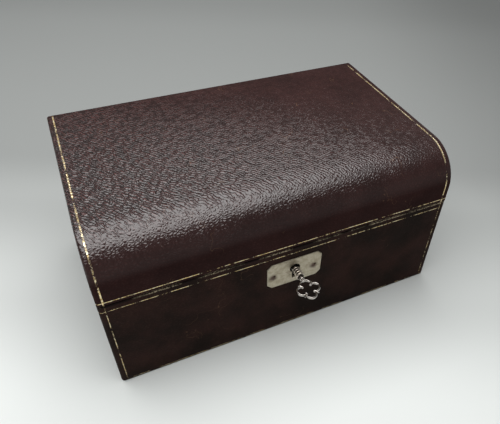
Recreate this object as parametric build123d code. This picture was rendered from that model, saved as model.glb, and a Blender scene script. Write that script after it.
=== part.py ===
from build123d import *
import math
import os

# Leather-covered jewellery box with a round-fronted lid, a lock with its key, and a lift-out tray.
# Millimetres. X runs along the length, the front faces -Y, Z is up.
# The origin is the middle of the underside.

# Case, over the leather
case_length = 270.0
case_depth = 165.0
base_height = 86.7
rim_gap = 0.6
lid_height = 43.7
lid_front_radius = 30.0
lid_back_round = 2.4
lid_end_round = 2.0
leather = 1.0
corner_round = 2.6
edge_round = 1.2
rim_round = 0.45
turn_in = 9.0

# Woodwork
base_board = 7.5
bottom_board = 6.0
rabbet = 3.5
lid_board = 5.5
underside_gap = 0.2

# Lining of the base, whose top edge stands up inside the lid
base_lining = 2.0
lining_lip = 3.0
lining_round = 0.8
lip_clearance = 0.3
floor_pad = 4.0
floor_pad_round = 1.5

# Padding of the lid
lid_pad = 8.0
lid_pad_foot = 19.5

# Lift-out tray
tray_height = 29.0
tray_drop = 1.5
tray_clearance = 0.5
tray_wall = 3.5
tray_floor = 3.0
tray_divider = 2.5
tray_edge_round = 0.8
ring_section = 84.0
side_section = 70.0
middle_divider_y = 14.0
end_divider_y = -21.0
divider_drop = 1.0
tray_rest_width = 6.0
tray_rest_height = 8.0
ring_roll_count = 7
ring_roll_gap = 0.5
ring_roll_flat = 1.2
ring_roll_round = 3.0
tray_pad = 2.0
tray_pad_gap = 0.3
tab_width = 14.0
tab_strip = 0.7
tab_fold = 1.2
tab_rise = 8.0
tab_reach = 7.5

# Escutcheon on the outside of the front
lock_offset = 2.0
key_below_rim = 20.3
escutcheon_length = 44.2
escutcheon_height = 24.5
escutcheon_drop = 2.3
escutcheon_thickness = 1.4
escutcheon_clip = 3.6
escutcheon_bevel = 0.4
escutcheon_seat_gap = 0.35
keyhole_radius = 4.2
keyhole_slot = 4.4
keyhole_depth = 9.9
pin_spacing = 33.2
pin_radius = 1.0
pin_length = 6.0
pin_head = 0.15
pin_fit = 0.04

# Lock
lock_skin = 0.9
lock_sheet = 0.8
lock_half_length = 15.3
lock_below_key = 10.2
lock_fit = 0.1
selvedge_half_length = 24.0
selvedge_screw_place = 20.0
drill_pin_radius = 1.0
drill_pin_reach = 7.0
stump_radius = 1.2
stump_fit = 0.12
stump_spacing = 8.2
stump_below_rim = 6.9
curtain_radius = 5.6
curtain_hub_radius = 3.6
curtain_disc = 0.8
curtain_fit = 0.05
bolt_thickness = 1.4
bolt_travel = 4.0
bolt_bottom_above_key = 7.0
bolt_below_roof = 2.0
bolt_left = 14.0
bolt_tongue_height = 2.6
bolt_tongue_below_rim = 6.3
bolt_spring_thickness = 0.4
bolt_spring_length = 12.0
bolt_spring_clearance = 0.15
staple_x = 8.8
staple_thickness = 2.0
staple_depth = 3.2
staple_rail = 0.6
staple_window_clearance = 0.35
staple_foot = 1.2
staple_plate_half_length = 17.0
staple_screw_place = 13.0

# Key
key_barrel_radius = 2.4
key_bore_radius = 1.2
key_bore_depth = 12.0
key_tip_clearance = 0.4
key_bit_radius = 8.6
key_bit_thickness = 2.2
key_bit_length = 4.2
key_bit_slot = 0.9
key_fit = 0.15
bow_centre = 22.5
lobe_offset = 4.7
lobe_radius = 3.7
bow_wire_width = 1.5
bow_wire_height = 2.7
lobe_sweep = 236.0
bow_nib_inner = 4.0
bow_nib_outer = 8.2
bow_nib_width = 1.5

# Stop hinges, with tails that meet when the lid is open
hinge_from_end = 53.0
hinge_length = 30.0
hinge_leaf = 6.4
hinge_leaf_gap = 0.05
knuckle_radius = 2.2
knuckle_gap = 0.15
hinge_stand_off = 0.3
hinge_pin_radius = 1.0
hinge_pin_fit = 0.05
hinge_open_angle = 100.0
tail_reach = 4.4
tail_thickness = 1.1
base_tail_angle = -58.0
leaf_seat_gap = 0.2

# Countersunk screws
screw_head_radius = 1.6
screw_head_depth = 0.9
screw_radius = 0.7
screw_length = 5.0
screw_fit = 0.04
screw_slot = 0.35

# Places worked out from the sizes above
half_length = case_length / 2
half_depth = case_depth / 2
board_length = half_length - leather
board_depth = half_depth - leather
inner_length = board_length - base_board
inner_depth = board_depth - base_board
base_board_top = base_height - leather
key_height = base_board_top - key_below_rim
hinge_place = half_length - hinge_from_end
parting = base_height + rim_gap / 2
lid_bottom = base_height + rim_gap
lid_board_bottom = lid_bottom + leather
lid_top = lid_bottom + lid_height
lid_inner_length = board_length - lid_board
lid_inner_depth = board_depth - lid_board
lid_lining = base_board - lid_board - lip_clearance
floor_top = leather + bottom_board
clear_length = inner_length - base_lining
clear_depth = inner_depth - base_lining
front_face = -half_depth
front_board_face = -board_depth
lock_front = front_board_face + lock_skin
lock_back = -inner_depth
lock_inner_front = lock_front + lock_sheet
lock_inner_back = lock_back - lock_sheet
lock_bottom = key_height - lock_below_key
bolt_back = lock_inner_front + bolt_thickness + 1.4
bolt_front = bolt_back - bolt_thickness
bolt_bottom = key_height + bolt_bottom_above_key
bolt_top = base_board_top - lock_sheet - bolt_below_roof
bolt_tongue_bottom = base_board_top - bolt_tongue_below_rim
tray_top = base_height - tray_drop
tray_bottom = tray_top - tray_height
tray_length = clear_length - tray_clearance
tray_depth = clear_depth - tray_clearance
tray_inner_length = tray_length - tray_wall
tray_inner_depth = tray_depth - tray_wall
ring_divider_x = -tray_inner_length + ring_section
side_divider_x = tray_inner_length - side_section
hinge_y = half_depth + hinge_stand_off + knuckle_radius
leaf_thickness = leather + rim_gap / 2 - hinge_leaf_gap


def block(x0, x1, y0, y1, z0, z1):
    """A box between two corners."""
    return Pos((x0 + x1) / 2, (y0 + y1) / 2, (z0 + z1) / 2) * Box(x1 - x0, y1 - y0, z1 - z0)


def rod_x(radius, x0, x1, y, z):
    """A cylinder along X."""
    return Pos((x0 + x1) / 2, y, z) * Rot(0, 90, 0) * Cylinder(radius, x1 - x0)


def rod_y(radius, y0, y1, x, z):
    """A cylinder along Y."""
    return Pos(x, (y0 + y1) / 2, z) * Rot(90, 0, 0) * Cylinder(radius, y1 - y0)


def rounded_block(reach_x, reach_y, z0, z1, radius):
    """A box centred on Z whose upright edges are rounded."""
    shape = block(-reach_x, reach_x, -reach_y, reach_y, z0, z1)
    return fillet(shape.edges().filter_by(Axis.Z), radius) if radius > 0 else shape


def edges_at(shape, axis, place):
    """The edges that lie in the plane square to the axis at that place."""
    return shape.edges().filter_by_position(axis, place - 0.001, place + 0.001)


def lid_section(inset, x0, x1):
    """The lid's outline, taken in by the inset, as a solid from x0 to x1. Its foot is open below."""
    front = front_face + inset
    back = half_depth - inset
    top = lid_top - inset
    radius = lid_front_radius - inset
    centre_y = front + radius
    centre_z = top - radius
    reach = radius * math.sqrt(0.5)
    back_round = max(lid_back_round - inset, 0.3)
    foot = lid_bottom + (inset if inset <= leather else 0)
    outline = Wire(
        [
            Line((front, foot), (front, centre_z)),
            ThreePointArc(
                (front, centre_z), (centre_y - reach, centre_z + reach), (centre_y, top)
            ),
            Line((centre_y, top), (back - back_round, top)),
            ThreePointArc(
                (back - back_round, top),
                (back - back_round * (1 - math.sqrt(0.5)), top - back_round * (1 - math.sqrt(0.5))),
                (back, top - back_round),
            ),
            Line((back, top - back_round), (back, foot)),
            Line((back, foot), (front, foot)),
        ]
    )
    face = Plane.YZ * Face(outline)
    return Pos(x0, 0, 0) * extrude(face, amount=x1 - x0, dir=(1, 0, 0))


def screw(x, y, z, upward=False):
    """A countersunk wood screw whose head lies flush at z, driven down or up."""
    head = Pos(0, 0, -screw_head_depth / 2) * Cone(screw_radius, screw_head_radius, screw_head_depth)
    shank = Pos(0, 0, -screw_length / 2) * Cylinder(screw_radius, screw_length)
    slot = Box(2 * screw_head_radius + 1, screw_slot, screw_slot)
    shape = head + shank - slot
    return Pos(x, y, z) * (Rot(180, 0, 0) * shape if upward else shape)


def screw_hole(x, y, z, upward=False):
    """The hole that a screw goes in, with its clearance."""
    head = Pos(0, 0, -screw_head_depth / 2) * Cone(
        screw_radius + screw_fit, screw_head_radius + screw_fit, screw_head_depth
    )
    shank_length = screw_length + screw_fit
    shank = Pos(0, 0, -shank_length / 2) * Cylinder(screw_radius + screw_fit, shank_length)
    shape = head + shank
    return Pos(x, y, z) * (Rot(180, 0, 0) * shape if upward else shape)


def hinge_screw_places():
    """Where each hinge's leaf takes its screws."""
    y = half_depth - hinge_leaf * 0.52
    spread = hinge_length * 0.31
    return [(side * hinge_place + k * spread, y) for side in (-1, 1) for k in (-1, 1)]


def selvedge_screw_places():
    """Where the lock's rim plate takes its screws."""
    y = (front_board_face - inner_depth) / 2
    return [(lock_offset + k * selvedge_screw_place, y) for k in (-1, 1)]


def staple_screw_places():
    """Where the lid's staple plate takes its screws."""
    y = front_board_face + lid_board / 2
    return [(lock_offset + k * staple_screw_place, y) for k in (-1, 1)]


def all_holes(places, z, upward=False):
    """Screw holes at every place."""
    return [screw_hole(x, y, z, upward) for x, y in places]


def all_screws(places, z, upward=False):
    """Screws at every place, as separate solids."""
    return Compound([screw(x, y, z, upward) for x, y in places])


def hinge_leaf_seats(z0, z1):
    """Clearance that the leather leaves round each hinge's leaf."""
    reach = hinge_length / 2 + leaf_seat_gap
    y0 = half_depth - hinge_leaf - leaf_seat_gap
    return [
        block(side * hinge_place - reach, side * hinge_place + reach, y0, half_depth + 1, z0, z1)
        for side in (-1, 1)
    ]


def escutcheon_outline(grow, y0, y1):
    """The escutcheon's clipped rectangle, grown by a gap, as a solid from y0 to y1."""
    half_x = escutcheon_length / 2 + grow
    half_z = escutcheon_height / 2 + grow
    plate = block(-half_x, half_x, y0, y1, -half_z, half_z)
    corners = chamfer(plate.edges().filter_by(Axis.Y), escutcheon_clip)
    return Pos(lock_offset, 0, key_height - escutcheon_drop) * corners


def keyhole(radius, slot, depth, y0, y1):
    """A round keyhole with the slot below it, as a solid to cut away."""
    hole = rod_y(radius, y0, y1, lock_offset, key_height)
    return hole + block(
        lock_offset - slot / 2, lock_offset + slot / 2, y0, y1, key_height - depth, key_height
    )


def lock_pocket(grow):
    """The pocket in the front board that holds the lock, open to the inside and to the rim."""
    return block(
        lock_offset - lock_half_length - grow,
        lock_offset + lock_half_length + grow,
        lock_front,
        lock_back + 1,
        lock_bottom - grow,
        base_board_top + 1,
    )


# Base


def base_carcass():
    """The outside of the base's woodwork as one block, from which the boards are cut."""
    radius = max(corner_round - leather, 0.2)
    return rounded_block(board_length, board_depth, leather, base_board_top, radius)


def front_or_back_board(side):
    """The front board (side -1) or the back board (side 1), rabbeted at both ends."""
    inner = side * inner_depth
    outer = side * (board_depth + 1)
    shape = base_carcass() & block(
        -half_length, half_length, min(inner, outer), max(inner, outer), 0, base_height
    )
    lip = side * (inner_depth + rabbet)
    for end in (-1, 1):
        x0, x1 = sorted((end * inner_length, end * half_length))
        shape -= block(x0, x1, min(inner, lip), max(inner, lip), 0, base_height)
    return shape


def base_front_board():
    shape = front_or_back_board(-1) - lock_pocket(lock_fit)
    shape -= keyhole(keyhole_radius, keyhole_slot, keyhole_depth, front_face - 1, lock_back)
    for x, _ in escutcheon_pin_places():
        hole_end = front_board_face + pin_length + pin_fit
        shape -= rod_y(
            pin_radius + pin_fit, front_face - 1, hole_end, x, key_height - escutcheon_drop
        )
    return shape.cut(*all_holes(selvedge_screw_places(), base_height))


def base_back_board():
    return front_or_back_board(1).cut(*all_holes(hinge_screw_places(), parting - hinge_leaf_gap))


def base_end_board(side):
    """An end board, let into the rabbets of the front and back boards."""
    x0, x1 = sorted((side * inner_length, side * half_length))
    reach = inner_depth + rabbet
    return base_carcass() & block(x0, x1, -reach, reach, 0, base_height)


def base_bottom_board():
    return block(-inner_length, inner_length, -inner_depth, inner_depth, leather, floor_top)


def base_leather():
    """The leather over the base, turned in under the bottom and over the rim."""
    shape = rounded_block(half_length, half_depth, 0, base_height, corner_round)
    shape = fillet(edges_at(shape, Axis.Z, 0), edge_round)
    shape = fillet(edges_at(shape, Axis.Z, base_height), rim_round)
    shape -= base_carcass()
    under_x = board_length - turn_in
    under_y = board_depth - turn_in
    shape -= block(-under_x, under_x, -under_y, under_y, -1, leather)
    shape -= block(
        -inner_length, inner_length, -inner_depth, inner_depth, base_board_top, base_height + 1
    )
    shape -= escutcheon_outline(escutcheon_seat_gap, front_face - 1, front_board_face)
    reach = selvedge_half_length + leaf_seat_gap
    shape -= block(
        lock_offset - reach,
        lock_offset + reach,
        selvedge_front() - leaf_seat_gap,
        -inner_depth + 1,
        base_board_top,
        base_height + 1,
    )
    return shape.cut(*hinge_leaf_seats(base_board_top, base_height + 1))


def underside_cover():
    """The paper-covered card that fills the frame of turned-in leather."""
    reach_x = board_length - turn_in - underside_gap
    reach_y = board_depth - turn_in - underside_gap
    return block(-reach_x, reach_x, -reach_y, reach_y, 0, leather)


def long_lining(side):
    """Velvet-covered card along the front (side -1) or back (side 1), standing above the rim."""
    y0, y1 = sorted((side * clear_depth, side * inner_depth))
    top = base_height + lining_lip
    shape = block(-inner_length, inner_length, y0, y1, floor_top, top)
    return fillet(edges_at(shape, Axis.Z, top).filter_by(Axis.X), lining_round)


def end_lining(side):
    """Velvet-covered card along an end, between the front and back linings."""
    x0, x1 = sorted((side * clear_length, side * inner_length))
    top = base_height + lining_lip
    shape = block(x0, x1, -clear_depth, clear_depth, floor_top, top)
    return fillet(edges_at(shape, Axis.Z, top).filter_by(Axis.Y), lining_round)


def base_floor_pad():
    shape = block(
        -clear_length, clear_length, -clear_depth, clear_depth, floor_top, floor_top + floor_pad
    )
    return fillet(edges_at(shape, Axis.Z, floor_top + floor_pad), floor_pad_round)


def tray_rest(side):
    """The ledge on an end lining that carries the tray."""
    x0, x1 = sorted((side * (clear_length - tray_rest_width), side * clear_length))
    return block(x0, x1, -clear_depth, clear_depth, tray_bottom - tray_rest_height, tray_bottom)


# Escutcheon and lock


def escutcheon_pin_places():
    z = key_height - escutcheon_drop
    return [(lock_offset - pin_spacing / 2, z), (lock_offset + pin_spacing / 2, z)]


def escutcheon():
    face = front_board_face - escutcheon_thickness
    shape = escutcheon_outline(0, face, front_board_face)
    shape = chamfer(edges_at(shape, Axis.Y, face), escutcheon_bevel)
    shape -= keyhole(keyhole_radius, keyhole_slot, keyhole_depth, face - 1, front_board_face + 1)
    for x, z in escutcheon_pin_places():
        shape -= rod_y(pin_radius + pin_fit, face - 1, front_board_face + 1, x, z)
    return shape


def escutcheon_pins():
    """Two round-headed steel pins."""
    head = front_board_face - escutcheon_thickness - pin_head
    pins = []
    for x, z in escutcheon_pin_places():
        pin = rod_y(pin_radius, head, front_board_face + pin_length, x, z)
        pins.append(fillet(edges_at(pin, Axis.Y, head), pin_head))
    return Compound(pins)


def selvedge_front():
    return front_board_face + (lid_board - staple_depth) / 4


def staple_place():
    """Front and back of the staple, in the middle of the lid's front board."""
    middle = bolt_back - bolt_thickness / 2
    return middle - staple_depth / 2, middle + staple_depth / 2


def staple_slot(z0, z1):
    """The slot that the staple drops through, long enough for the arc it swings in."""
    y0, y1 = staple_place()
    swing = (parting - bolt_tongue_bottom + staple_foot) ** 2 / case_depth
    x = lock_offset + staple_x
    reach = staple_thickness / 2 + staple_window_clearance
    return block(x - reach, x + reach, y0 - swing, y1 + staple_window_clearance, z0, z1)


def lock_case():
    """The lock's box, open towards the inside of the jewellery box."""
    x0 = lock_offset - lock_half_length
    x1 = lock_offset + lock_half_length
    shape = block(x0, x1, lock_front, lock_inner_back, lock_bottom, base_board_top)
    shape -= block(
        x0 + lock_sheet,
        x1 - lock_sheet,
        lock_inner_front,
        lock_inner_back + 1,
        lock_bottom + lock_sheet,
        base_board_top - lock_sheet,
    )
    shape -= keyhole(
        curtain_hub_radius + curtain_fit,
        key_bit_thickness + 2 * key_fit,
        key_bit_radius + key_fit,
        lock_front - 1,
        lock_inner_front + 0.1,
    )
    return shape - staple_slot(base_board_top - 2 * lock_sheet, base_board_top + 1)


def lock_back_plate():
    x0 = lock_offset - lock_half_length
    x1 = lock_offset + lock_half_length
    return block(x0, x1, lock_inner_back, lock_back, lock_bottom, base_board_top)


def lock_selvedge():
    """The lock's plate on the rim, with the slot for the staple."""
    shape = block(
        lock_offset - selvedge_half_length,
        lock_offset + selvedge_half_length,
        selvedge_front(),
        -inner_depth,
        base_board_top,
        base_height,
    )
    shape -= staple_slot(base_board_top - 1, base_height + 1)
    return shape.cut(*all_holes(selvedge_screw_places(), base_height))


def lock_drill_pin():
    """The post that the hollow key fits over."""
    return rod_y(
        drill_pin_radius, lock_inner_back - drill_pin_reach, lock_inner_back, lock_offset, key_height
    )


def stump_places():
    z = base_board_top - stump_below_rim
    right = bolt_tongue_end() - bolt_travel - 2 * (stump_radius + stump_fit)
    return [(right - stump_spacing, z), (right, z)]


def lock_stumps():
    """The two posts that the bolt slides on."""
    return Compound(
        [rod_y(stump_radius, lock_inner_front, lock_inner_back, x, z) for x, z in stump_places()]
    )


def lock_curtain():
    """The small drum in the keyhole that turns with the key."""
    hub = rod_y(curtain_hub_radius, lock_front, lock_inner_front, lock_offset, key_height)
    disc_end = lock_inner_front + curtain_disc
    disc = rod_y(curtain_radius, lock_inner_front, disc_end, lock_offset, key_height)
    return (hub + disc) - keyhole(
        key_barrel_radius + key_fit,
        key_bit_thickness + 2 * key_fit,
        curtain_radius + 1,
        lock_front - 1,
        disc_end + 1,
    )


def bolt_tongue_end():
    """Where the bolt's tongue ends, just short of the staple."""
    return lock_offset + staple_x - staple_thickness / 2 - staple_window_clearance


def lock_bolt():
    """The bolt, with slots that ride on the stumps and a notch where the key's bit passes."""
    shape = block(
        lock_offset - bolt_left,
        bolt_tongue_end() - bolt_travel,
        bolt_front,
        bolt_back,
        bolt_bottom,
        bolt_top,
    )
    shape += block(
        lock_offset,
        bolt_tongue_end(),
        bolt_front,
        bolt_back,
        bolt_tongue_bottom,
        bolt_tongue_bottom + bolt_tongue_height,
    )
    half_chord = math.sqrt(key_bit_radius**2 - bolt_bottom_above_key**2)
    reach = half_chord + key_bit_thickness / 2 + 2 * key_fit + bolt_travel / 2
    notch_x = lock_offset - bolt_travel / 2
    shape -= block(
        notch_x - reach,
        notch_x + reach,
        bolt_front - 1,
        bolt_back + 1,
        bolt_bottom - 1,
        key_height + key_bit_radius + 2 * key_fit,
    )
    for x, z in stump_places():
        radius = stump_radius + stump_fit
        shape -= rod_y(radius, bolt_front - 1, bolt_back + 1, x, z)
        shape -= rod_y(radius, bolt_front - 1, bolt_back + 1, x - bolt_travel, z)
        shape -= block(x - bolt_travel, x, bolt_front - 1, bolt_back + 1, z - radius, z + radius)
    return shape


def lock_bolt_spring():
    """The bowed leaf on the bolt that steadies it against the lock's roof."""
    x0 = lock_offset - bolt_left + 1
    x1 = x0 + bolt_spring_length
    rise = bolt_below_roof - bolt_spring_thickness - bolt_spring_clearance
    middle = (x0 + x1) / 2
    t = bolt_spring_thickness
    outline = Wire(
        [
            ThreePointArc((x0, bolt_top), (middle, bolt_top + rise), (x1, bolt_top)),
            Line((x1, bolt_top), (x1, bolt_top + t)),
            ThreePointArc((x1, bolt_top + t), (middle, bolt_top + rise + t), (x0, bolt_top + t)),
            Line((x0, bolt_top + t), (x0, bolt_top)),
        ]
    )
    strip = extrude(Plane.XZ * Face(outline), amount=bolt_thickness, dir=(0, -1, 0))
    return Pos(0, bolt_back, 0) * strip


def lock_staple():
    """The plate on the lid's rim with the staple that the bolt enters."""
    y0, y1 = staple_place()
    plate = block(
        lock_offset - staple_plate_half_length,
        lock_offset + staple_plate_half_length,
        selvedge_front(),
        front_board_face + lid_board,
        lid_bottom,
        lid_board_bottom,
    )
    x = lock_offset + staple_x
    half = staple_thickness / 2
    window_bottom = bolt_tongue_bottom - staple_window_clearance
    window_top = bolt_tongue_bottom + bolt_tongue_height + staple_window_clearance
    loop = block(x - half, x + half, y0, y1, window_bottom - staple_foot, lid_board_bottom)
    loop = fillet(edges_at(loop, Axis.Z, window_bottom - staple_foot).filter_by(Axis.X), 0.6)
    loop -= block(
        x - half - 1, x + half + 1, y0 + staple_rail, y1 - staple_rail, window_bottom, window_top
    )
    return (plate + loop).cut(*all_holes(staple_screw_places(), lid_bottom, True))


# Key


def key_shank():
    """The turned shank: barrel, rings, collar, neck and ball, out to the bow."""
    tip = lock_inner_back - key_tip_clearance
    barrel = key_barrel_radius
    bow_start = bow_centre - lobe_offset - lobe_radius
    turned = [
        (front_face - tip, barrel),
        (-1.6, barrel),
        (-1.9, 2.7),
        (-2.5, 2.7),
        (-2.8, 2.3),
        (-3.4, 2.3),
        (-3.7, 2.75),
        (-4.3, 2.75),
        (-4.6, 2.3),
        (-5.4, 2.3),
        (-5.9, 3.3),
        (-6.9, 3.3),
        (-7.5, 2.0),
        (-8.1, 1.7),
        (-8.8, 2.3),
        (-9.9, 2.6),
        (-10.8, 2.1),
        (-11.4, 1.4),
        (-bow_start, 1.3),
    ]
    points = [(0, tip)] + [(barrel, tip)]
    points += [(radius, front_face + place) for place, radius in turned[1:]]
    points += [(0, front_face - bow_start)]
    profile = Face(Polyline(*points, close=True).wire())
    shape = revolve(profile, Axis.Y)
    shape = Pos(lock_offset, 0, key_height) * shape
    return shape - rod_y(key_bore_radius, tip - key_bore_depth, tip + 1, lock_offset, key_height)


def bow_lobe(angle):
    """One of the bow's four round lobes, an open ring of wire."""
    start = angle - lobe_sweep / 2
    path = Edge.make_circle(lobe_radius, start_angle=start, end_angle=start + lobe_sweep)
    section = Plane(path @ 0, x_dir=(0, 0, 1), z_dir=path % 0) * Ellipse(
        bow_wire_height / 2, bow_wire_width / 2
    )
    lobe = sweep(section, path=path)
    end = Cylinder(bow_wire_width / 2, bow_wire_height * 0.8)
    end = fillet(end.edges().filter_by(GeomType.CIRCLE), bow_wire_width * 0.3)
    ends = [Pos(*(path @ t)) * end for t in (0, 1)]
    away = math.radians(angle)
    return Pos(lobe_offset * math.cos(away), lobe_offset * math.sin(away), 0) * (lobe + ends)


def bow_nib(angle):
    """The small point where two lobes meet."""
    length = bow_nib_outer - bow_nib_inner
    middle = (bow_nib_outer + bow_nib_inner) / 2
    nib = Pos(middle, 0, 0) * Rot(0, 90, 0) * Cone(bow_nib_width * 0.3, bow_nib_width / 2, length)
    return Rot(0, 0, angle) * nib


def key():
    """The key, with its hollow shank, its bit pointing down and its bow lying level."""
    bow = Part() + [bow_lobe(90 * k) for k in range(4)]
    bow += [bow_nib(45 + 90 * k) for k in range(4)]
    bow = Pos(lock_offset, front_face - bow_centre, key_height) * bow
    tip = lock_inner_back - key_tip_clearance
    bit = block(
        lock_offset - key_bit_thickness / 2,
        lock_offset + key_bit_thickness / 2,
        tip - key_bit_length,
        tip,
        key_height - key_bit_radius,
        key_height - key_barrel_radius * 0.8,
    )
    middle = tip - key_bit_length / 2
    bit -= block(
        lock_offset - key_bit_thickness,
        lock_offset + key_bit_thickness,
        middle - key_bit_slot / 2,
        middle + key_bit_slot / 2,
        key_height - key_bit_radius - 1,
        key_height - key_bit_radius + 2.4,
    )
    return key_shank() + bit + bow


# Hinges


def hinge_plate(side, z0, z1):
    """A flat leaf from the rim to the knuckles."""
    x = side * hinge_place
    half = hinge_length / 2
    return block(x - half, x + half, half_depth - hinge_leaf, hinge_y, z0, z1)


def hinge_tail(x0, x1, angle):
    """A flat tail that stands out of the knuckles, clear of the other leaf's knuckle."""
    inner = knuckle_radius + knuckle_gap
    tail = block(x0, x1, inner, tail_reach, -tail_thickness / 2, tail_thickness / 2)
    return Pos(0, hinge_y, parting) * Rot(angle, 0, 0) * tail


def hinge_web(x0, x1, angle):
    """The root that joins a tail to its own knuckle."""
    web = block(
        x0, x1, knuckle_radius * 0.8, tail_reach, -tail_thickness / 2, tail_thickness / 2
    )
    return Pos(0, hinge_y, parting) * Rot(angle, 0, 0) * web


def lid_tail_angle():
    """The lid's tail stops against the base's tail when the lid has turned to its open angle."""
    touching = 2 * math.degrees(math.atan(tail_thickness / 2 / (knuckle_radius + knuckle_gap)))
    return base_tail_angle + touching + hinge_open_angle + 0.5


def knuckle_edges(side):
    """The ends of the three knuckles of one hinge, from left to right."""
    x = side * hinge_place
    third = hinge_length / 3
    half = hinge_length / 2
    return [
        (x - half, x - half + third - knuckle_gap / 2),
        (x - half + third + knuckle_gap / 2, x + half - third - knuckle_gap / 2),
        (x + half - third + knuckle_gap / 2, x + half),
    ]


def hinge_base_leaf(side):
    """The leaf on the base, with the two outer knuckles and the tail that stops the lid."""
    top = parting - hinge_leaf_gap
    left, middle, right = knuckle_edges(side)
    shape = hinge_plate(side, top - leaf_thickness, top)
    clear = knuckle_radius + knuckle_gap
    shape -= rod_x(clear, middle[0] - knuckle_gap, middle[1] + knuckle_gap, hinge_y, parting)
    for x0, x1 in (left, right):
        shape += rod_x(knuckle_radius, x0, x1, hinge_y, parting)
        shape += hinge_web(x0, x1, base_tail_angle)
    shape += hinge_tail(left[0], right[1], base_tail_angle)
    shape -= rod_x(
        hinge_pin_radius + hinge_pin_fit, left[0] - 1, right[1] + 1, hinge_y, parting
    )
    return shape.cut(*all_holes(hinge_screw_places(), top))


def hinge_lid_leaf(side):
    """The leaf on the lid, with the middle knuckle and the tail that meets the base's."""
    bottom = parting + hinge_leaf_gap
    left, middle, right = knuckle_edges(side)
    shape = hinge_plate(side, bottom, bottom + leaf_thickness)
    clear = knuckle_radius + knuckle_gap
    for x0, x1 in (left, right):
        shape -= rod_x(clear, x0 - 1, x1 + knuckle_gap, hinge_y, parting)
    shape -= rod_x(clear, right[0] - knuckle_gap, right[1] + 1, hinge_y, parting)
    shape += rod_x(knuckle_radius, middle[0], middle[1], hinge_y, parting)
    shape += hinge_web(middle[0], middle[1], lid_tail_angle())
    shape += hinge_tail(left[0], right[1], lid_tail_angle())
    shape -= rod_x(
        hinge_pin_radius + hinge_pin_fit, left[0] - 1, right[1] + 1, hinge_y, parting
    )
    return shape.cut(*all_holes(hinge_screw_places(), bottom, True))


def hinge_pin(side):
    x = side * hinge_place
    half = hinge_length / 2
    return rod_x(hinge_pin_radius, x - half, x + half, hinge_y, parting)


# Lid


def lid_carcass():
    """The outside of the lid's woodwork as one block, from which the boards are cut."""
    shape = lid_section(leather, -board_length, board_length)
    return soften_lid_ends(shape, board_length, lid_board_bottom, lid_end_round - leather)


def soften_lid_ends(shape, end, foot, radius):
    """Round the edges of the lid's two ends, apart from those along the rim."""
    for x in (-end, end):
        edges = edges_at(shape, Axis.X, x)
        shape = fillet([edge for edge in edges if edge.center().Z > foot + 0.01], radius)
    return shape


def lid_inside():
    """What the lid's boards enclose, down past its rim."""
    return lid_section(leather + lid_board, -lid_inner_length, lid_inner_length)


def lid_leather():
    """The leather over the lid, turned in over its rim."""
    shape = lid_section(0, -half_length, half_length)
    shape = soften_lid_ends(shape, half_length, lid_bottom, lid_end_round)
    rim = edges_at(shape, Axis.Z, lid_bottom)
    shape = fillet(rim, rim_round) - lid_carcass()
    shape -= block(
        -lid_inner_length,
        lid_inner_length,
        -lid_inner_depth,
        lid_inner_depth,
        lid_bottom - 1,
        lid_board_bottom,
    )
    reach = staple_plate_half_length + leaf_seat_gap
    shape -= block(
        lock_offset - reach,
        lock_offset + reach,
        selvedge_front() - leaf_seat_gap,
        -lid_inner_depth + 1,
        lid_bottom - 1,
        lid_board_bottom,
    )
    return shape.cut(*hinge_leaf_seats(lid_bottom - 1, lid_board_bottom))


def lid_top_panel():
    """The bent panel over the top and round the front, down to the rim."""
    shape = lid_carcass() - lid_section(leather + lid_board, -half_length, half_length)
    shape -= block(
        -half_length,
        half_length,
        lid_inner_depth,
        half_depth,
        lid_bottom,
        lid_top - leather - lid_board,
    )
    return shape.cut(*all_holes(staple_screw_places(), lid_bottom, True))


def lid_back_board():
    top = lid_top - leather - lid_board
    shape = lid_carcass() & block(
        -half_length, half_length, lid_inner_depth, half_depth, lid_bottom, top
    )
    return shape.cut(*all_holes(hinge_screw_places(), parting + hinge_leaf_gap, True))


def lid_end_board(side):
    """An end of the lid, shaped to the inside of the bent panel."""
    x0, x1 = sorted((side * lid_inner_length, side * half_length))
    return lid_carcass() & lid_section(leather + lid_board, x0, x1)


def lid_long_lining(side):
    """Silk-covered card inside the lid's front (side -1) or back (side 1)."""
    face = lid_inner_depth - lid_lining
    y0, y1 = sorted((side * face, side * (lid_inner_depth + 1)))
    foot = lid_bottom + lid_pad_foot if side < 0 else lid_top
    shape = block(-lid_inner_length, lid_inner_length, y0, y1, lid_bottom, foot)
    return (shape & lid_inside()) - lid_cushion()


def lid_end_lining(side):
    """Silk-covered card inside an end of the lid."""
    x0, x1 = sorted((side * (lid_inner_length - lid_lining), side * lid_inner_length))
    face = lid_inner_depth - lid_lining
    shape = block(x0, x1, -face, face, lid_bottom, lid_top)
    return (shape & lid_inside()) - lid_cushion() - lid_long_lining(-1)


def lid_cushion():
    """The padded lining under the lid's top, which follows the round front."""
    foot = lid_bottom + lid_pad_foot
    face = lid_top - leather - lid_board - lid_pad
    hollow = lid_section(leather + lid_board + lid_pad, -half_length, half_length)
    hollow += block(-half_length, half_length, 0, half_depth, lid_bottom, face)
    shape = lid_inside() - hollow
    return shape - block(-half_length, half_length, -half_depth, half_depth, 0, foot)


# Tray


def tray_base_board():
    return block(
        -tray_length, tray_length, -tray_depth, tray_depth, tray_bottom, tray_bottom + tray_floor
    )


def tray_long_wall(side):
    y0, y1 = sorted((side * tray_inner_depth, side * tray_depth))
    shape = block(-tray_length, tray_length, y0, y1, tray_bottom + tray_floor, tray_top)
    return fillet(edges_at(shape, Axis.Z, tray_top).filter_by(Axis.X), tray_edge_round)


def tray_end_wall(side):
    x0, x1 = sorted((side * tray_inner_length, side * tray_length))
    reach = tray_inner_depth
    shape = block(x0, x1, -reach, reach, tray_bottom + tray_floor, tray_top)
    return fillet(edges_at(shape, Axis.Z, tray_top).filter_by(Axis.Y), tray_edge_round)


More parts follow.
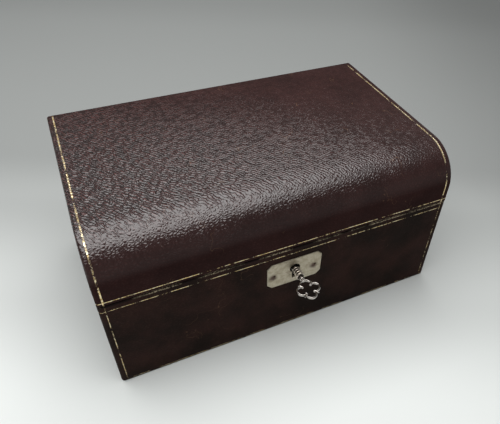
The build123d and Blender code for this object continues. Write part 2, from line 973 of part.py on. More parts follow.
def tray_cross_wall(x, y0, y1):
    """A divider that runs from front to back."""
    half = tray_divider / 2
    top = tray_top - divider_drop
    shape = block(x - half, x + half, y0, y1, tray_bottom + tray_floor, top)
    return fillet(edges_at(shape, Axis.Z, top).filter_by(Axis.Y), tray_edge_round)


def tray_along_wall(x0, x1, y):
    """A divider that runs along the tray."""
    half = tray_divider / 2
    top = tray_top - divider_drop
    shape = block(x0, x1, y - half, y + half, tray_bottom + tray_floor, top)
    return fillet(edges_at(shape, Axis.Z, top).filter_by(Axis.X), tray_edge_round)


def tray_sections():
    """The open compartments, as x0, x1, y0, y1."""
    half = tray_divider / 2
    middle = (ring_divider_x + half, side_divider_x - half)
    side = (side_divider_x + half, tray_inner_length)
    return [
        (*middle, -tray_inner_depth, middle_divider_y - half),
        (*middle, middle_divider_y + half, tray_inner_depth),
        (*side, -tray_inner_depth, end_divider_y - half),
        (*side, end_divider_y + half, tray_inner_depth),
    ]


def tray_pads():
    """A thin velvet pad on the floor of each open compartment."""
    floor = tray_bottom + tray_floor
    gap = tray_pad_gap
    pads = []
    for x0, x1, y0, y1 in tray_sections():
        pad = block(x0 + gap, x1 - gap, y0 + gap, y1 - gap, floor, floor + tray_pad)
        pads.append(fillet(edges_at(pad, Axis.Z, floor + tray_pad), tray_pad * 0.4))
    return Compound(pads)


def ring_rolls():
    """Padded rolls side by side, which hold rings between them."""
    x0 = -tray_inner_length + ring_roll_gap
    x1 = ring_divider_x - tray_divider / 2 - ring_roll_gap
    pitch = 2 * tray_inner_depth / ring_roll_count
    radius = (pitch - ring_roll_gap) / 2
    floor = tray_bottom + tray_floor
    z = floor + radius - ring_roll_flat
    rolls = []
    for k in range(ring_roll_count):
        y = -tray_inner_depth + (k + 0.5) * pitch
        roll = fillet(rod_x(radius, x0, x1, y, z).edges().filter_by(GeomType.CIRCLE), ring_roll_round)
        rolls.append(roll - block(x0 - 1, x1 + 1, y - pitch, y + pitch, floor - pitch, floor))
    return Compound(rolls)


def tray_tab(side):
    """A folded ribbon glued inside an end wall, to lift the tray by."""
    wall = side * tray_inner_length
    y0, y1 = -tab_width / 2, tab_width / 2
    foot = tray_top - tab_reach
    crown = tray_top + tab_rise
    thickness = tab_fold + 2 * tab_strip
    x0, x1 = sorted((wall, wall - side * thickness))
    loop = block(x0, x1, y0, y1, foot, crown)
    loop = fillet(edges_at(loop, Axis.Z, crown).filter_by(Axis.Y), thickness * 0.49)
    gap = block(x0 + tab_strip, x1 - tab_strip, y0 - 1, y1 + 1, tray_top + 1, crown - 2 * tab_strip)
    return loop - fillet(edges_at(gap, Axis.Z, crown - 2 * tab_strip).filter_by(Axis.Y), tab_fold * 0.49)


def tray_tabs():
    return Compound([tray_tab(-1), tray_tab(1)])


def make_parts():
    """Every piece by its node's name."""
    leaf_top = parting - hinge_leaf_gap
    leaf_bottom = parting + hinge_leaf_gap
    half = tray_divider / 2
    return {
        "base_front_board": base_front_board(),
        "base_back_board": base_back_board(),
        "base_left_board": base_end_board(-1),
        "base_right_board": base_end_board(1),
        "base_bottom_board": base_bottom_board(),
        "base_leather": base_leather(),
        "underside_cover": underside_cover(),
        "base_front_lining": long_lining(-1),
        "base_back_lining": long_lining(1),
        "base_left_lining": end_lining(-1),
        "base_right_lining": end_lining(1),
        "base_floor_pad": base_floor_pad(),
        "tray_rest_left": tray_rest(-1),
        "tray_rest_right": tray_rest(1),
        "escutcheon": escutcheon(),
        "escutcheon_pins": escutcheon_pins(),
        "lock_case": lock_case(),
        "lock_back_plate": lock_back_plate(),
        "lock_selvedge": lock_selvedge(),
        "lock_selvedge_screws": all_screws(selvedge_screw_places(), base_height),
        "lock_drill_pin": lock_drill_pin(),
        "lock_stumps": lock_stumps(),
        "lock_curtain": lock_curtain(),
        "lock_bolt": lock_bolt(),
        "lock_bolt_spring": lock_bolt_spring(),
        "lock_staple": lock_staple(),
        "lock_staple_screws": all_screws(staple_screw_places(), lid_bottom, True),
        "key": key(),
        "hinge_base_leaf_left": hinge_base_leaf(-1),
        "hinge_base_leaf_right": hinge_base_leaf(1),
        "hinge_lid_leaf_left": hinge_lid_leaf(-1),
        "hinge_lid_leaf_right": hinge_lid_leaf(1),
        "hinge_pin_left": hinge_pin(-1),
        "hinge_pin_right": hinge_pin(1),
        "hinge_base_screws": all_screws(hinge_screw_places(), leaf_top),
        "hinge_lid_screws": all_screws(hinge_screw_places(), leaf_bottom, True),
        "lid_top_panel": lid_top_panel(),
        "lid_back_board": lid_back_board(),
        "lid_left_board": lid_end_board(-1),
        "lid_right_board": lid_end_board(1),
        "lid_leather": lid_leather(),
        "lid_front_lining": lid_long_lining(-1),
        "lid_back_lining": lid_long_lining(1),
        "lid_left_lining": lid_end_lining(-1),
        "lid_right_lining": lid_end_lining(1),
        "lid_cushion": lid_cushion(),
        "tray_floor_board": tray_base_board(),
        "tray_front_wall": tray_long_wall(-1),
        "tray_back_wall": tray_long_wall(1),
        "tray_left_wall": tray_end_wall(-1),
        "tray_right_wall": tray_end_wall(1),
        "tray_ring_divider": tray_cross_wall(ring_divider_x, -tray_inner_depth, tray_inner_depth),
        "tray_side_divider": tray_cross_wall(side_divider_x, -tray_inner_depth, tray_inner_depth),
        "tray_middle_divider": tray_along_wall(
            ring_divider_x + half, side_divider_x - half, middle_divider_y
        ),
        "tray_end_divider": tray_along_wall(
            side_divider_x + half, tray_inner_length, end_divider_y
        ),
        "tray_pads": tray_pads(),
        "ring_rolls": ring_rolls(),
        "tray_tabs": tray_tabs(),
    }


os.makedirs("parts", exist_ok=True)
for name, shape in make_parts().items():
    export_step(shape, f"parts/{name}.step")
    print(name)
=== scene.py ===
import math

import bmesh
import bpy
from mathutils import Matrix, Vector, noise


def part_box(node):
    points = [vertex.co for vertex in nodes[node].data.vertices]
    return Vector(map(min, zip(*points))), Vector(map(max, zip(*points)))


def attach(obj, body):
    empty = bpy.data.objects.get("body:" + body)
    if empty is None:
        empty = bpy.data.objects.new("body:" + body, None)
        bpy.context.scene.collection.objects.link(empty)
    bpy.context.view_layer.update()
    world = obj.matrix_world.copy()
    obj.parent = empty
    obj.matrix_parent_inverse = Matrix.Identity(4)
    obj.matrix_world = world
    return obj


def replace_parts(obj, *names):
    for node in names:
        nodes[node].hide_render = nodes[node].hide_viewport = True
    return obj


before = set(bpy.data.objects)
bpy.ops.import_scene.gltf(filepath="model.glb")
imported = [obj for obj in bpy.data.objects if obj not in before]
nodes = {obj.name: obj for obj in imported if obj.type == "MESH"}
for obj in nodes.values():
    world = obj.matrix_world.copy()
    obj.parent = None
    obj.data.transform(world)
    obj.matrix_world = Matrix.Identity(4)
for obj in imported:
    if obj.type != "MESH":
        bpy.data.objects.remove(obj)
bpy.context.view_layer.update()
mm = 0.001
print("frame loaded:", len(nodes), "nodes")


# Small helpers for meshes

def shadeSmooth(mesh, angle):
    # smooth, but sharp where faces meet at more than an angle in degrees
    for face in mesh.polygons:
        face.use_smooth = True
    mesh.set_sharp_from_angle(angle=math.radians(angle))


def newPiece(name, bm, body, finish, angle=60):
    # turns a bmesh into a finished piece that rides on a body
    bmesh.ops.recalc_face_normals(bm, faces=bm.faces)
    mesh = bpy.data.meshes.new(name)
    bm.to_mesh(mesh)
    bm.free()
    piece = bpy.data.objects.new(name, mesh)
    bpy.context.scene.collection.objects.link(piece)
    shadeSmooth(mesh, angle)
    mesh.materials.append(finish)
    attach(piece, body)
    return piece


def evaluatedMesh(piece):
    depsgraph = bpy.context.evaluated_depsgraph_get()
    return bpy.data.meshes.new_from_object(piece.evaluated_get(depsgraph))


def applyModifiers(piece, angle=60):
    # bakes the piece's modifiers into its mesh
    mesh = evaluatedMesh(piece)
    piece.modifiers.clear()
    piece.data = mesh
    shadeSmooth(mesh, angle)


def blockMesh(low, high):
    # a bmesh box between two corners, in millimetres
    bm = bmesh.new()
    bmesh.ops.create_cube(bm, size=1)
    low, high = Vector(low) * mm, Vector(high) * mm
    bmesh.ops.scale(bm, vec=high - low, verts=bm.verts)
    bmesh.ops.translate(bm, vec=(high + low) / 2, verts=bm.verts)
    return bm


def bevelEdges(bm, pick, radius, segments):
    edges = [edge for edge in bm.edges if pick(edge)]
    bmesh.ops.bevel(bm, geom=edges, offset=radius * mm, affect='EDGES', segments=segments,
                    profile=0.5, material=-1, offset_type='OFFSET', clamp_overlap=True)


def along(edge, axis):
    # whether the edge runs along an axis: 0, 1 or 2
    run = edge.verts[1].co - edge.verts[0].co
    return run.length > 0 and abs(run[axis]) > 0.999 * run.length


def middle(item):
    # the middle of an edge or face, in millimetres
    if hasattr(item, "calc_center_median"):
        return item.calc_center_median() / mm
    return (item.verts[0].co + item.verts[1].co) / 2 / mm


def cutFaces(bm, faces, point, normal):
    # adds edges where a plane crosses the faces
    geom = list({item for face in faces for item in [face, *face.edges, *face.verts]})
    bmesh.ops.bisect_plane(bm, geom=geom, dist=1e-7, plane_co=point, plane_no=normal)


def cutAcross(bm, axis, places, pick=None):
    # adds a loop of edges in each plane square to an axis
    for place in places:
        faces = [face for face in bm.faces if pick is None or pick(middle(face))]
        point, normal = Vector((0, 0, 0)), Vector((0, 0, 0))
        point[axis], normal[axis] = place * mm, 1
        cutFaces(bm, faces, point, normal)


def evenPlaces(low, high, step):
    count = max(1, round((high - low) / step))
    return [low + (high - low) * k / count for k in range(1, count)]


def openRim(bm):
    return [edge for edge in bm.edges if edge.is_boundary]


def deleteFaces(bm, pick):
    bmesh.ops.delete(bm, geom=[face for face in bm.faces if pick(face)], context='FACES')


def cutWindow(bm, low, high, slants=()):
    # cuts a box-shaped window out of a skin; slants are (point, normal) planes that clip its corners
    margin = 14      # only faces this close to the window are cut

    def within(point, spare=0):
        return all(low[k] - spare < point[k] < high[k] + spare for k in range(3))

    for axis in range(3):
        for place in (low[axis], high[axis]):
            cutAcross(bm, axis, [place], lambda point: within(point, margin))
    for point, normal in slants:
        cutFaces(bm, [face for face in bm.faces if within(middle(face))], Vector(point) * mm, normal)
    deleteFaces(bm, lambda face: within(middle(face)) and all(
        (middle(face) - Vector(point)).dot(normal) < 0 for point, normal in slants))


def waver(bm, reach, size, pick):
    # lets a skin lie a little unevenly, inwards only
    bm.normal_update()
    moves = {}
    for vert in bm.verts:
        if pick(vert.co / mm):
            swell = 0.5 + 0.5 * noise.noise(vert.co / (size * mm))
            moves[vert] = -vert.normal * reach * mm * swell
    for vert, move in moves.items():
        vert.co += move


# Small helpers for materials

def newMaterial(name):
    # a material, its nodes, its shader and the place on the piece that its patterns follow
    material = bpy.data.materials.new(name)
    material.use_nodes = True
    tree = material.node_tree
    point = tree.nodes.new("ShaderNodeTexCoord").outputs["Object"]
    return material, tree, tree.nodes["Principled BSDF"], point


def feed(tree, socket, value):
    # links a socket to it, or else sets it
    if isinstance(value, bpy.types.NodeSocket):
        tree.links.new(value, socket)
    elif value is not None:
        socket.default_value = (*value, 1) if isinstance(value, tuple) else value


def setValues(tree, shader, **values):
    names = {"colour": "Base Color", "rough": "Roughness", "metal": "Metallic", "spec": "Specular IOR Level",
             "coat": "Coat Weight", "coatRough": "Coat Roughness", "coatBend": "Coat IOR", "sheen": "Sheen Weight",
             "sheenRough": "Sheen Roughness", "sheenTint": "Sheen Tint", "specTint": "Specular Tint"}
    for key, value in values.items():
        feed(tree, shader.inputs[names[key]], value)


def calc(tree, operation, a, b=None, c=None, clamp=False):
    step = tree.nodes.new("ShaderNodeMath")
    step.operation = operation
    step.use_clamp = clamp
    for socket, value in zip(step.inputs, (a, b, c)):
        feed(tree, socket, value)
    return step.outputs[0]


def scaled(tree, value, factor, base):
    # value times factor, plus base
    return calc(tree, 'MULTIPLY_ADD', value, factor, base)


def both(tree, *shares):
    share = shares[0]
    for other in shares[1:]:
        share = calc(tree, 'MULTIPLY', share, other)
    return share


def either(tree, *shares):
    share = shares[0]
    for other in shares[1:]:
        share = calc(tree, 'MAXIMUM', share, other)
    return share


def span(tree, value):
    return calc(tree, 'ABSOLUTE', value)


def apart(tree, value, place):
    # how far a value lies from a place
    return span(tree, calc(tree, 'SUBTRACT', value, place))


def distance(tree, a, b, centre=(0, 0)):
    # how far two coordinates lie from a centre, which is in millimetres
    squares = [calc(tree, 'POWER', calc(tree, 'SUBTRACT', value, place * mm), 2.0)
               for value, place in zip((a, b), centre)]
    return calc(tree, 'SQRT', calc(tree, 'ADD', *squares))


def fade(tree, value, low, high):
    # 0 below low, 1 above high, smooth between; the other way round where low is the larger
    step = tree.nodes.new("ShaderNodeMapRange")
    step.interpolation_type = 'SMOOTHSTEP'
    feed(tree, step.inputs["Value"], value)
    step.inputs["From Min"].default_value = min(low, high)
    step.inputs["From Max"].default_value = max(low, high)
    step.inputs["To Min"].default_value = 0.0 if low < high else 1.0
    step.inputs["To Max"].default_value = 1.0 if low < high else 0.0
    return step.outputs["Result"]


def fadeAt(tree, value, low, high):
    # the same between two places in millimetres
    return fade(tree, value, low * mm, high * mm)


def blendColour(tree, share, a, b):
    step = tree.nodes.new("ShaderNodeMix")
    step.data_type = 'RGBA'
    for socket, value in zip((step.inputs["Factor"], step.inputs[6], step.inputs[7]), (share, a, b)):
        feed(tree, socket, value)
    return step.outputs[2]


def blendNumber(tree, share, a, b):
    step = tree.nodes.new("ShaderNodeMix")
    step.data_type = 'FLOAT'
    for socket, value in zip((step.inputs["Factor"], step.inputs[2], step.inputs[3]), (share, a, b)):
        feed(tree, socket, value)
    return step.outputs[0]


def stretched(tree, point, factor):
    # draws a pattern out along X
    step = tree.nodes.new("ShaderNodeMapping")
    feed(tree, step.inputs["Vector"], point)
    step.inputs["Scale"].default_value = (factor, 1, 1)
    return step.outputs["Vector"]


def combed(tree, point, turn, length):
    # stretches a pattern along a direction that lies turn degrees round from +X
    step = tree.nodes.new("ShaderNodeMapping")
    step.vector_type = 'TEXTURE'
    feed(tree, step.inputs["Vector"], point)
    step.inputs["Rotation"].default_value = (0, 0, math.radians(turn))
    step.inputs["Scale"].default_value = (length, 1, 1)
    return step.outputs["Vector"]


def cloudNode(tree, point, size, detail, rough=0.5):
    step = tree.nodes.new("ShaderNodeTexNoise")
    feed(tree, step.inputs["Vector"], point)
    step.inputs["Scale"].default_value = 1 / (size * mm)
    step.inputs["Detail"].default_value = detail
    step.inputs["Roughness"].default_value = rough
    return step


def cloud(tree, point, size, detail=3.0, rough=0.5):
    # noise whose blotches are about size millimetres across
    return cloudNode(tree, point, size, detail, rough).outputs["Fac"]


def patches(tree, point, size, low, high, detail=3.0, rough=0.5):
    # the same with its middle tones drawn apart, so that it makes patches
    return fade(tree, cloud(tree, point, size, detail, rough), low, high)


def stirred(tree, point, size, reach):
    # moves a point about by up to reach millimetres
    shift = tree.nodes.new("ShaderNodeVectorMath")
    shift.operation = 'MULTIPLY_ADD'
    tree.links.new(cloudNode(tree, point, size, 2.0).outputs["Color"], shift.inputs[0])
    shift.inputs[1].default_value = [2 * reach * mm] * 3
    tree.links.new(point, shift.inputs[2])
    return shift.outputs[0]


def cells(tree, point, size):
    # distance to the edges between cells of about size millimetres
    step = tree.nodes.new("ShaderNodeTexVoronoi")
    step.feature = 'DISTANCE_TO_EDGE'
    feed(tree, step.inputs["Vector"], point)
    step.inputs["Scale"].default_value = 1 / (size * mm)
    return step.outputs["Distance"]


def waves(tree, point, period, warp, warpSize):
    # wavy ridges along X, a period of so many millimetres apart and pushed about by a noise
    step = tree.nodes.new("ShaderNodeTexWave")
    step.wave_type, step.bands_direction, step.wave_profile = 'BANDS', 'X', 'SIN'
    feed(tree, step.inputs["Vector"], point)
    scale = math.pi / 10 / (period * mm)
    step.inputs["Scale"].default_value = scale
    step.inputs["Distortion"].default_value = warp
    step.inputs["Detail"].default_value = 1.0
    step.inputs["Detail Scale"].default_value = 1 / (warpSize * mm) / scale
    step.inputs["Detail Roughness"].default_value = 0.5
    return step.outputs["Fac"]


def relief(tree, shader, height, depth):
    # bumps of a height from 0 to 1, depth millimetres deep
    step = tree.nodes.new("ShaderNodeBump")
    step.inputs["Strength"].default_value = 1.0
    step.inputs["Distance"].default_value = depth * mm
    tree.links.new(height, step.inputs["Height"])
    for name in ("Normal", "Coat Normal"):
        tree.links.new(step.outputs["Normal"], shader.inputs[name])


def axes(tree, point):
    step = tree.nodes.new("ShaderNodeSeparateXYZ")
    tree.links.new(point, step.inputs[0])
    return step.outputs


# Leather with gilt lines

boxSize = {
    "halfX": 135.0, "halfY": 82.5, "top": 131.0,     # over the leather
    "lidFoot": 87.3, "seam": 87.0, "caseTop": 86.7,
    "bendY": -52.5, "bendZ": 101.0, "curve": 30.0,   # the lid's round front: its centre line and radius
}
lineLook = {
    "width": 0.70, "caseWidth": 0.595, "overWidth": 1.085,
    "end": 130.3,            # gilt lines beside the ends, from the middle
    "inset": 4.6,            # gilt lines on the ends, from their edge
    "rim": 90.4, "top": 81.8, "foot": 2.3,
    "faint": 0.75,           # how much is left at the foot and the front corners
}
leatherLook = {
    # the first two colours are painted shade for the creases of the grain and a painted highlight for the wrinkles'
    # ridges
    "creaseShade": (0.0042, 0.0022, 0.0020), "ridgeHighlight": (0.088, 0.034, 0.031),
    "scuff": (0.46, 0.37, 0.25), "worn": (0.16, 0.085, 0.045),
    # the paler gold is painted glints on the gilt
    "gold": (0.66, 0.47, 0.20), "glintGold": (0.95, 0.84, 0.58),
    "goldMetal": 0.75, "goldRough": 0.34, "goldPressed": 0.35,
    "wrinkle": 2.05,         # from one wrinkle in the lid's top to the next
    "wrinkleTurn": -51,      # the way the wrinkles run, round from the length
    "wrinkleDepth": 2.4, "wrinkleShare": 0.80,
    "pebble": 1.8,           # width of a pebble in the grain
    "scratchTurn": 68, "scratchShare": 0.38, "seamDarkening": 0.8, "seamScuffs": 0.95,
    "coatRough": 0.25, "coatBend": 1.66, "tint": (1.0, 0.84, 0.80),
}
leathers = {
    "lidLeather": {
        "colours": ((0.041, 0.0155, 0.0142), (0.027, 0.0100, 0.0092)), "depth": 0.22, "flatDepth": 0.09,
        "shine": 0.32, "dull": 0.84, "spec": 0.10, "wear": 0.58, "giltLost": 0.45,
    },
    "caseLeather": {
        # these colours are darker than the lid's same leather, as painted shade on the case
        "colours": ((0.038, 0.0165, 0.0128), (0.014, 0.0084, 0.0062)), "depth": 0.10, "flatDepth": 0.10,
        "shine": 0.36, "dull": 0.80, "spec": 0.11, "wear": 0.45, "giltLost": 0.475,
    },
}


def giltLine(tree, value, place, width):
    # 1 on a thin line where value is near place, in millimetres
    return fadeAt(tree, apart(tree, value, place * mm), width * 0.56, width * 0.40)


def past(tree, value, place, way=1):
    # 1 on one side of a place, in millimetres, and 0 on the other
    return fadeAt(tree, value, place - 0.1 * way, place + 0.1 * way)


def outerFaces(tree, x, y):
    # 1 on the front, and 1 on both ends
    front = fadeAt(tree, y, 1.2 - boxSize["halfY"], 0.8 - boxSize["halfY"])
    ends = fadeAt(tree, span(tree, x), boxSize["halfX"] - 1.0, boxSize["halfX"] - 0.6)
    return front, ends


def lidLines(tree, x, y, z):
    box, line = boxSize, lineLook
    width = line["width"]
    onFront, onEnd = outerFaces(tree, x, y)
    rim = both(tree, giltLine(tree, z, line["rim"], width), either(tree, onFront, onEnd))
    over = both(tree, giltLine(tree, span(tree, x), line["end"], line["overWidth"]), fadeAt(tree, y, 80.0, 79.0))
    # on each end: up the front, round the bend, along the top and down the back
    side = box["halfY"] - line["inset"]
    upright = both(tree, giltLine(tree, y, -side, width), past(tree, z, box["bendZ"], -1))
    radius = distance(tree, y, z, (box["bendY"], box["bendZ"]))
    bent = both(tree, giltLine(tree, radius, box["curve"] - line["inset"], width),
                past(tree, y, box["bendY"], -1), past(tree, z, box["bendZ"]))
    level = both(tree, giltLine(tree, z, box["top"] - line["inset"], width), past(tree, y, box["bendY"]))
    ends = both(tree, either(tree, bent, upright, level, giltLine(tree, y, side, width)), onEnd)
    return either(tree, rim, over, ends)


def caseLines(tree, x, y, z):
    box, line = boxSize, lineLook
    width = line["caseWidth"]
    onFront, onEnd = outerFaces(tree, x, y)
    top, foot = (both(tree, giltLine(tree, z, line[name], width), either(tree, onFront, onEnd))
                 for name in ("top", "foot"))
    upright = both(tree, giltLine(tree, span(tree, x), line["end"], width), onFront)
    endUpright = both(tree, giltLine(tree, span(tree, y), box["halfY"] - line["inset"], width), onEnd)
    return either(tree, top, both(tree, either(tree, foot, upright), line["faint"]), endUpright)


def lidPolish(tree, x, y, z):
    # the round front and the top beside it are rubbed smooth, most of all to the left
    back = fadeAt(tree, scaled(tree, x, 0.25, y), -72, 88)
    return both(tree, fadeAt(tree, z, 104, 125), scaled(tree, back, -0.76, 1.0))


def lidWrinkles(tree, x, y, z):
    # the flat top is creased, most of all to the left
    left = fadeAt(tree, scaled(tree, y, 0.6, x), 100, -110)
    return both(tree, fadeAt(tree, y, -82, -46), scaled(tree, left, 0.80, 0.20), fadeAt(tree, z, 124, 129))


def leather(name, lines, polish=None, creased=None):
    box, look, kind = boxSize, leatherLook, leathers[name]
    material, tree, shader, point = newMaterial(name)
    x, y, z = axes(tree, point)
    polished = polish(tree, x, y, z) if polish else 0.0
    wrinkled = creased(tree, x, y, z) if creased else 0.0

    # the grain: pebbles all over, and wrinkles on the lid's top
    run = combed(tree, point, look["wrinkleTurn"] + 90, 1)
    wrinkles = calc(tree, 'POWER', waves(tree, run, look["wrinkle"], 6.0, 4.0), 0.9)
    wrinkles = both(tree, wrinkles, scaled(tree, patches(tree, point, 5.0, 0.36, 0.56, 1.0), 0.6, 0.4))
    drawn = combed(tree, stirred(tree, point, 6.0, 1.5), look["wrinkleTurn"] + 80, 1.4)
    pebbles = fade(tree, cells(tree, drawn, look["pebble"]), 0.0, 0.46)
    uneven = both(tree, scaled(tree, patches(tree, point, 40, 0.28, 0.70, 2.0), 0.40, 0.60),
                  scaled(tree, fadeAt(tree, x, 130, 20), 0.45, 0.55))
    height = scaled(tree, cloud(tree, point, 0.6), 0.14, both(tree, pebbles, uneven))
    height = scaled(tree, both(tree, wrinkles, wrinkled), look["wrinkleDepth"], height)

    # its colour, with painted shade in the creases of the grain and a painted highlight on the wrinkles' ridges, and
    # fine scratches
    colour = blendColour(tree, patches(tree, point, 30, 0.32, 0.68, 4.0, 0.6), *kind["colours"])
    # painted shade in the creases between the pebbles
    colour = blendColour(tree, scaled(tree, pebbles, -0.35, 0.35), colour, look["creaseShade"])
    # painted shade in the wrinkles' troughs and a painted highlight on their ridges
    wrinkleShadeAndHighlight = blendColour(tree, calc(tree, 'POWER', wrinkles, 1.5), look["creaseShade"], look["ridgeHighlight"])
    colour = blendColour(tree, both(tree, wrinkled, look["wrinkleShare"]), colour, wrinkleShadeAndHighlight)
    hair = apart(tree, cloud(tree, combed(tree, point, look["scratchTurn"], 2.2), 21), 0.5)
    hair = both(tree, fade(tree, hair, 0.0050, 0.0015), patches(tree, point, 24, 0.56, 0.64), look["scratchShare"])
    colour = blendColour(tree, hair, colour, look["worn"])

    # rubbed edges, the darker band along the seam and the scuffs along it, from here on with a slight waver
    x, y, z = axes(tree, stirred(tree, stirred(tree, point, 60, 0.25), 2.5, 0.12))
    spanX, spanY = span(tree, x), span(tree, y)
    halfX, halfY, top = box["halfX"], box["halfY"], box["top"]
    edge = either(tree, both(tree, fadeAt(tree, spanX, halfX - 2.0, halfX), fadeAt(tree, y, 3.5 - halfY, -halfY)),
                  both(tree, fadeAt(tree, spanX, halfX - 1.5, halfX), fadeAt(tree, z, top - 2.0, top)))
    rubbed = both(tree, either(tree, edge, patches(tree, point, 5, 0.74, 0.80, 5.0, 0.65)),
                  patches(tree, point, 2.2, 0.50, 0.66, 5.0, 0.7))
    colour = blendColour(tree, both(tree, rubbed, kind["wear"]), colour, look["worn"])
    seam = apart(tree, z, box["seam"] * mm)
    # the leather is coloured darker along the seam, in the same near-black as the creases
    colour = blendColour(tree, both(tree, fadeAt(tree, seam, 1.7, 0.8), look["seamDarkening"]), colour, look["creaseShade"])
    outside = either(tree, fadeAt(tree, spanX, halfX - 0.8, halfX - 0.3), fadeAt(tree, spanY, halfY - 0.8, halfY - 0.3))
    scuffed = both(tree, fadeAt(tree, seam, 1.4, 0.9), patches(tree, point, 1.0, 0.45, 0.56, 4.0, 0.8),
                   patches(tree, point, 22, 0.38, 0.56, 2.0), outside, look["seamScuffs"])
    colour = blendColour(tree, scuffed, colour, look["scuff"])

    # the gilt, worn away in places
    tooled = lines(tree, x, y, z)
    lasting = calc(tree, 'ADD', both(tree, cloud(tree, point, 1.3, 4.0, 0.75), 0.50),
                    both(tree, cloud(tree, point, 12, 2.0), 0.50))
    gilt = both(tree, tooled, fade(tree, lasting, kind["giltLost"], kind["giltLost"] + 0.05))
    # small patches of paler gold are painted glints on the gilt
    gold = blendColour(tree, patches(tree, point, 0.9, 0.40, 0.62, 2.0), look["gold"], look["glintGold"])

    gloss = scaled(tree, cloud(tree, point, 18), 0.16, blendNumber(tree, polished, kind["dull"], kind["shine"]))
    gloss = scaled(tree, rubbed, 0.15, calc(tree, 'SUBTRACT', gloss, 0.08))
    setValues(tree, shader, colour=blendColour(tree, gilt, colour, gold), metal=both(tree, gilt, look["goldMetal"]),
              rough=blendNumber(tree, gilt, gloss, look["goldRough"]), spec=kind["spec"], specTint=look["tint"])
    if polish:
        setValues(tree, shader, coat=polished, coatRough=look["coatRough"], coatBend=look["coatBend"])
    height = both(tree, height, blendNumber(tree, polished, kind["flatDepth"] / kind["depth"], 1.0))
    relief(tree, shader, scaled(tree, tooled, -look["goldPressed"], height), kind["depth"])
    return material


lidLeather = leather("lidLeather", lidLines, lidPolish, lidWrinkles)
caseLeather = leather("caseLeather", caseLines)
print("leather mixed")


# Cloth

velvetLook = {"colour": (0.105, 0.010, 0.024), "shade": 0.62, "glow": (0.80, 0.28, 0.36), "pile": 0.16}
satinLook = {"colour": (0.66, 0.47, 0.235), "shade": (0.47, 0.305, 0.14), "glow": (1.0, 0.9, 0.72), "weave": 0.05}
baizeLook = {"colour": (0.062, 0.036, 0.030), "shade": (0.030, 0.016, 0.014), "threads": 420, "weave": 0.10}


def velvetCloth():
    look = velvetLook
    material, tree, shader, point = newMaterial("wineVelvet")
    shade = tuple(part * look["shade"] for part in look["colour"])
    nap = patches(tree, point, 14, 0.30, 0.70, 4.0, 0.6)
    relief(tree, shader, scaled(tree, cloud(tree, point, 5), 1.6, cloud(tree, point, 0.30, 2.0)), look["pile"])
    setValues(tree, shader, colour=blendColour(tree, nap, shade, look["colour"]), rough=0.92, spec=0.15,
              sheen=0.85, sheenRough=0.38, sheenTint=look["glow"])
    return material


def satinCloth():
    look = satinLook
    material, tree, shader, point = newMaterial("goldSatin")
    weave = cloud(tree, stretched(tree, point, 0.06), 0.16, 1.0)
    slub = patches(tree, stretched(tree, point, 0.05), 0.9, 0.62, 0.74, 2.0)
    tone = blendColour(tree, patches(tree, point, 20, 0.30, 0.70), look["shade"], look["colour"])
    relief(tree, shader, weave, look["weave"])
    setValues(tree, shader, colour=blendColour(tree, both(tree, slub, 0.35), tone, look["shade"]),
              rough=scaled(tree, weave, 0.14, 0.22), spec=0.75, sheen=0.45, sheenRough=0.30, sheenTint=look["glow"])
    return material


def baizeCloth():
    look = baizeLook
    material, tree, shader, point = newMaterial("darkCloth")
    threads = []
    for way in ('X', 'Y'):
        thread = tree.nodes.new("ShaderNodeTexWave")
        thread.bands_direction = way
        thread.inputs["Scale"].default_value = look["threads"]
        thread.inputs["Distortion"].default_value = 0.6
        tree.links.new(point, thread.inputs["Vector"])
        threads.append(thread.outputs["Fac"])
    relief(tree, shader, either(tree, *threads), look["weave"])
    faded = patches(tree, point, 25, 0.30, 0.75, 4.0)
    setValues(tree, shader, colour=blendColour(tree, faded, look["shade"], look["colour"]), rough=0.88, spec=0.2,
              sheen=0.25, sheenRough=0.5)
    return material


wineVelvet = velvetCloth()
goldSatin = satinCloth()
darkCloth = baizeCloth()


# Wood and metals

def wood(name, light, dark):
    material, tree, shader, point = newMaterial(name)
    grain = stretched(tree, stirred(tree, point, 60, 3.0), 0.06)
    rings = cloud(tree, grain, 3.2, 4.0, 0.6)
    pores = both(tree, patches(tree, grain, 0.5, 0.60, 0.70, 2.0), 0.5)
    tone = blendColour(tree, fade(tree, rings, 0.36, 0.64), light, dark)
    relief(tree, shader, rings, 0.10)
    setValues(tree, shader, colour=blendColour(tree, pores, tone, dark), rough=scaled(tree, rings, 0.2, 0.5))
    return material


pine = wood("planedPine", (0.52, 0.34, 0.17), (0.34, 0.19, 0.08))
# near-black pine: painted shade where the front board shows inside the keyhole
pineInShade = wood("pinePaintedShade", (0.014, 0.010, 0.008), (0.006, 0.004, 0.003))


def metal(name, colour, tarnish, rough, amount, blotch=6):
    # amount is how much of the tarnish shows, blotch how many millimetres it is across
    material, tree, shader, point = newMaterial(name)
    patch = both(tree, patches(tree, point, blotch, 0.42, 0.72, 5.0, 0.6), amount)
    lines = cloud(tree, stretched(tree, point, 0.05), 0.22, 2.0)
    blur = scaled(tree, lines, 0.18, rough - 0.09)
    relief(tree, shader, scaled(tree, cloud(tree, point, 1.2), 0.8, lines), 0.03)
    setValues(tree, shader, colour=blendColour(tree, patch, colour, tarnish), rough=scaled(tree, patch, 0.18, blur),
              metal=1.0)
    return material


agedBrass = metal("agedBrass", (0.66, 0.46, 0.19), (0.22, 0.12, 0.05), 0.34, 0.7)
lockBrass = metal("lockBrass", (0.62, 0.44, 0.20), (0.30, 0.18, 0.08), 0.30, 0.5)
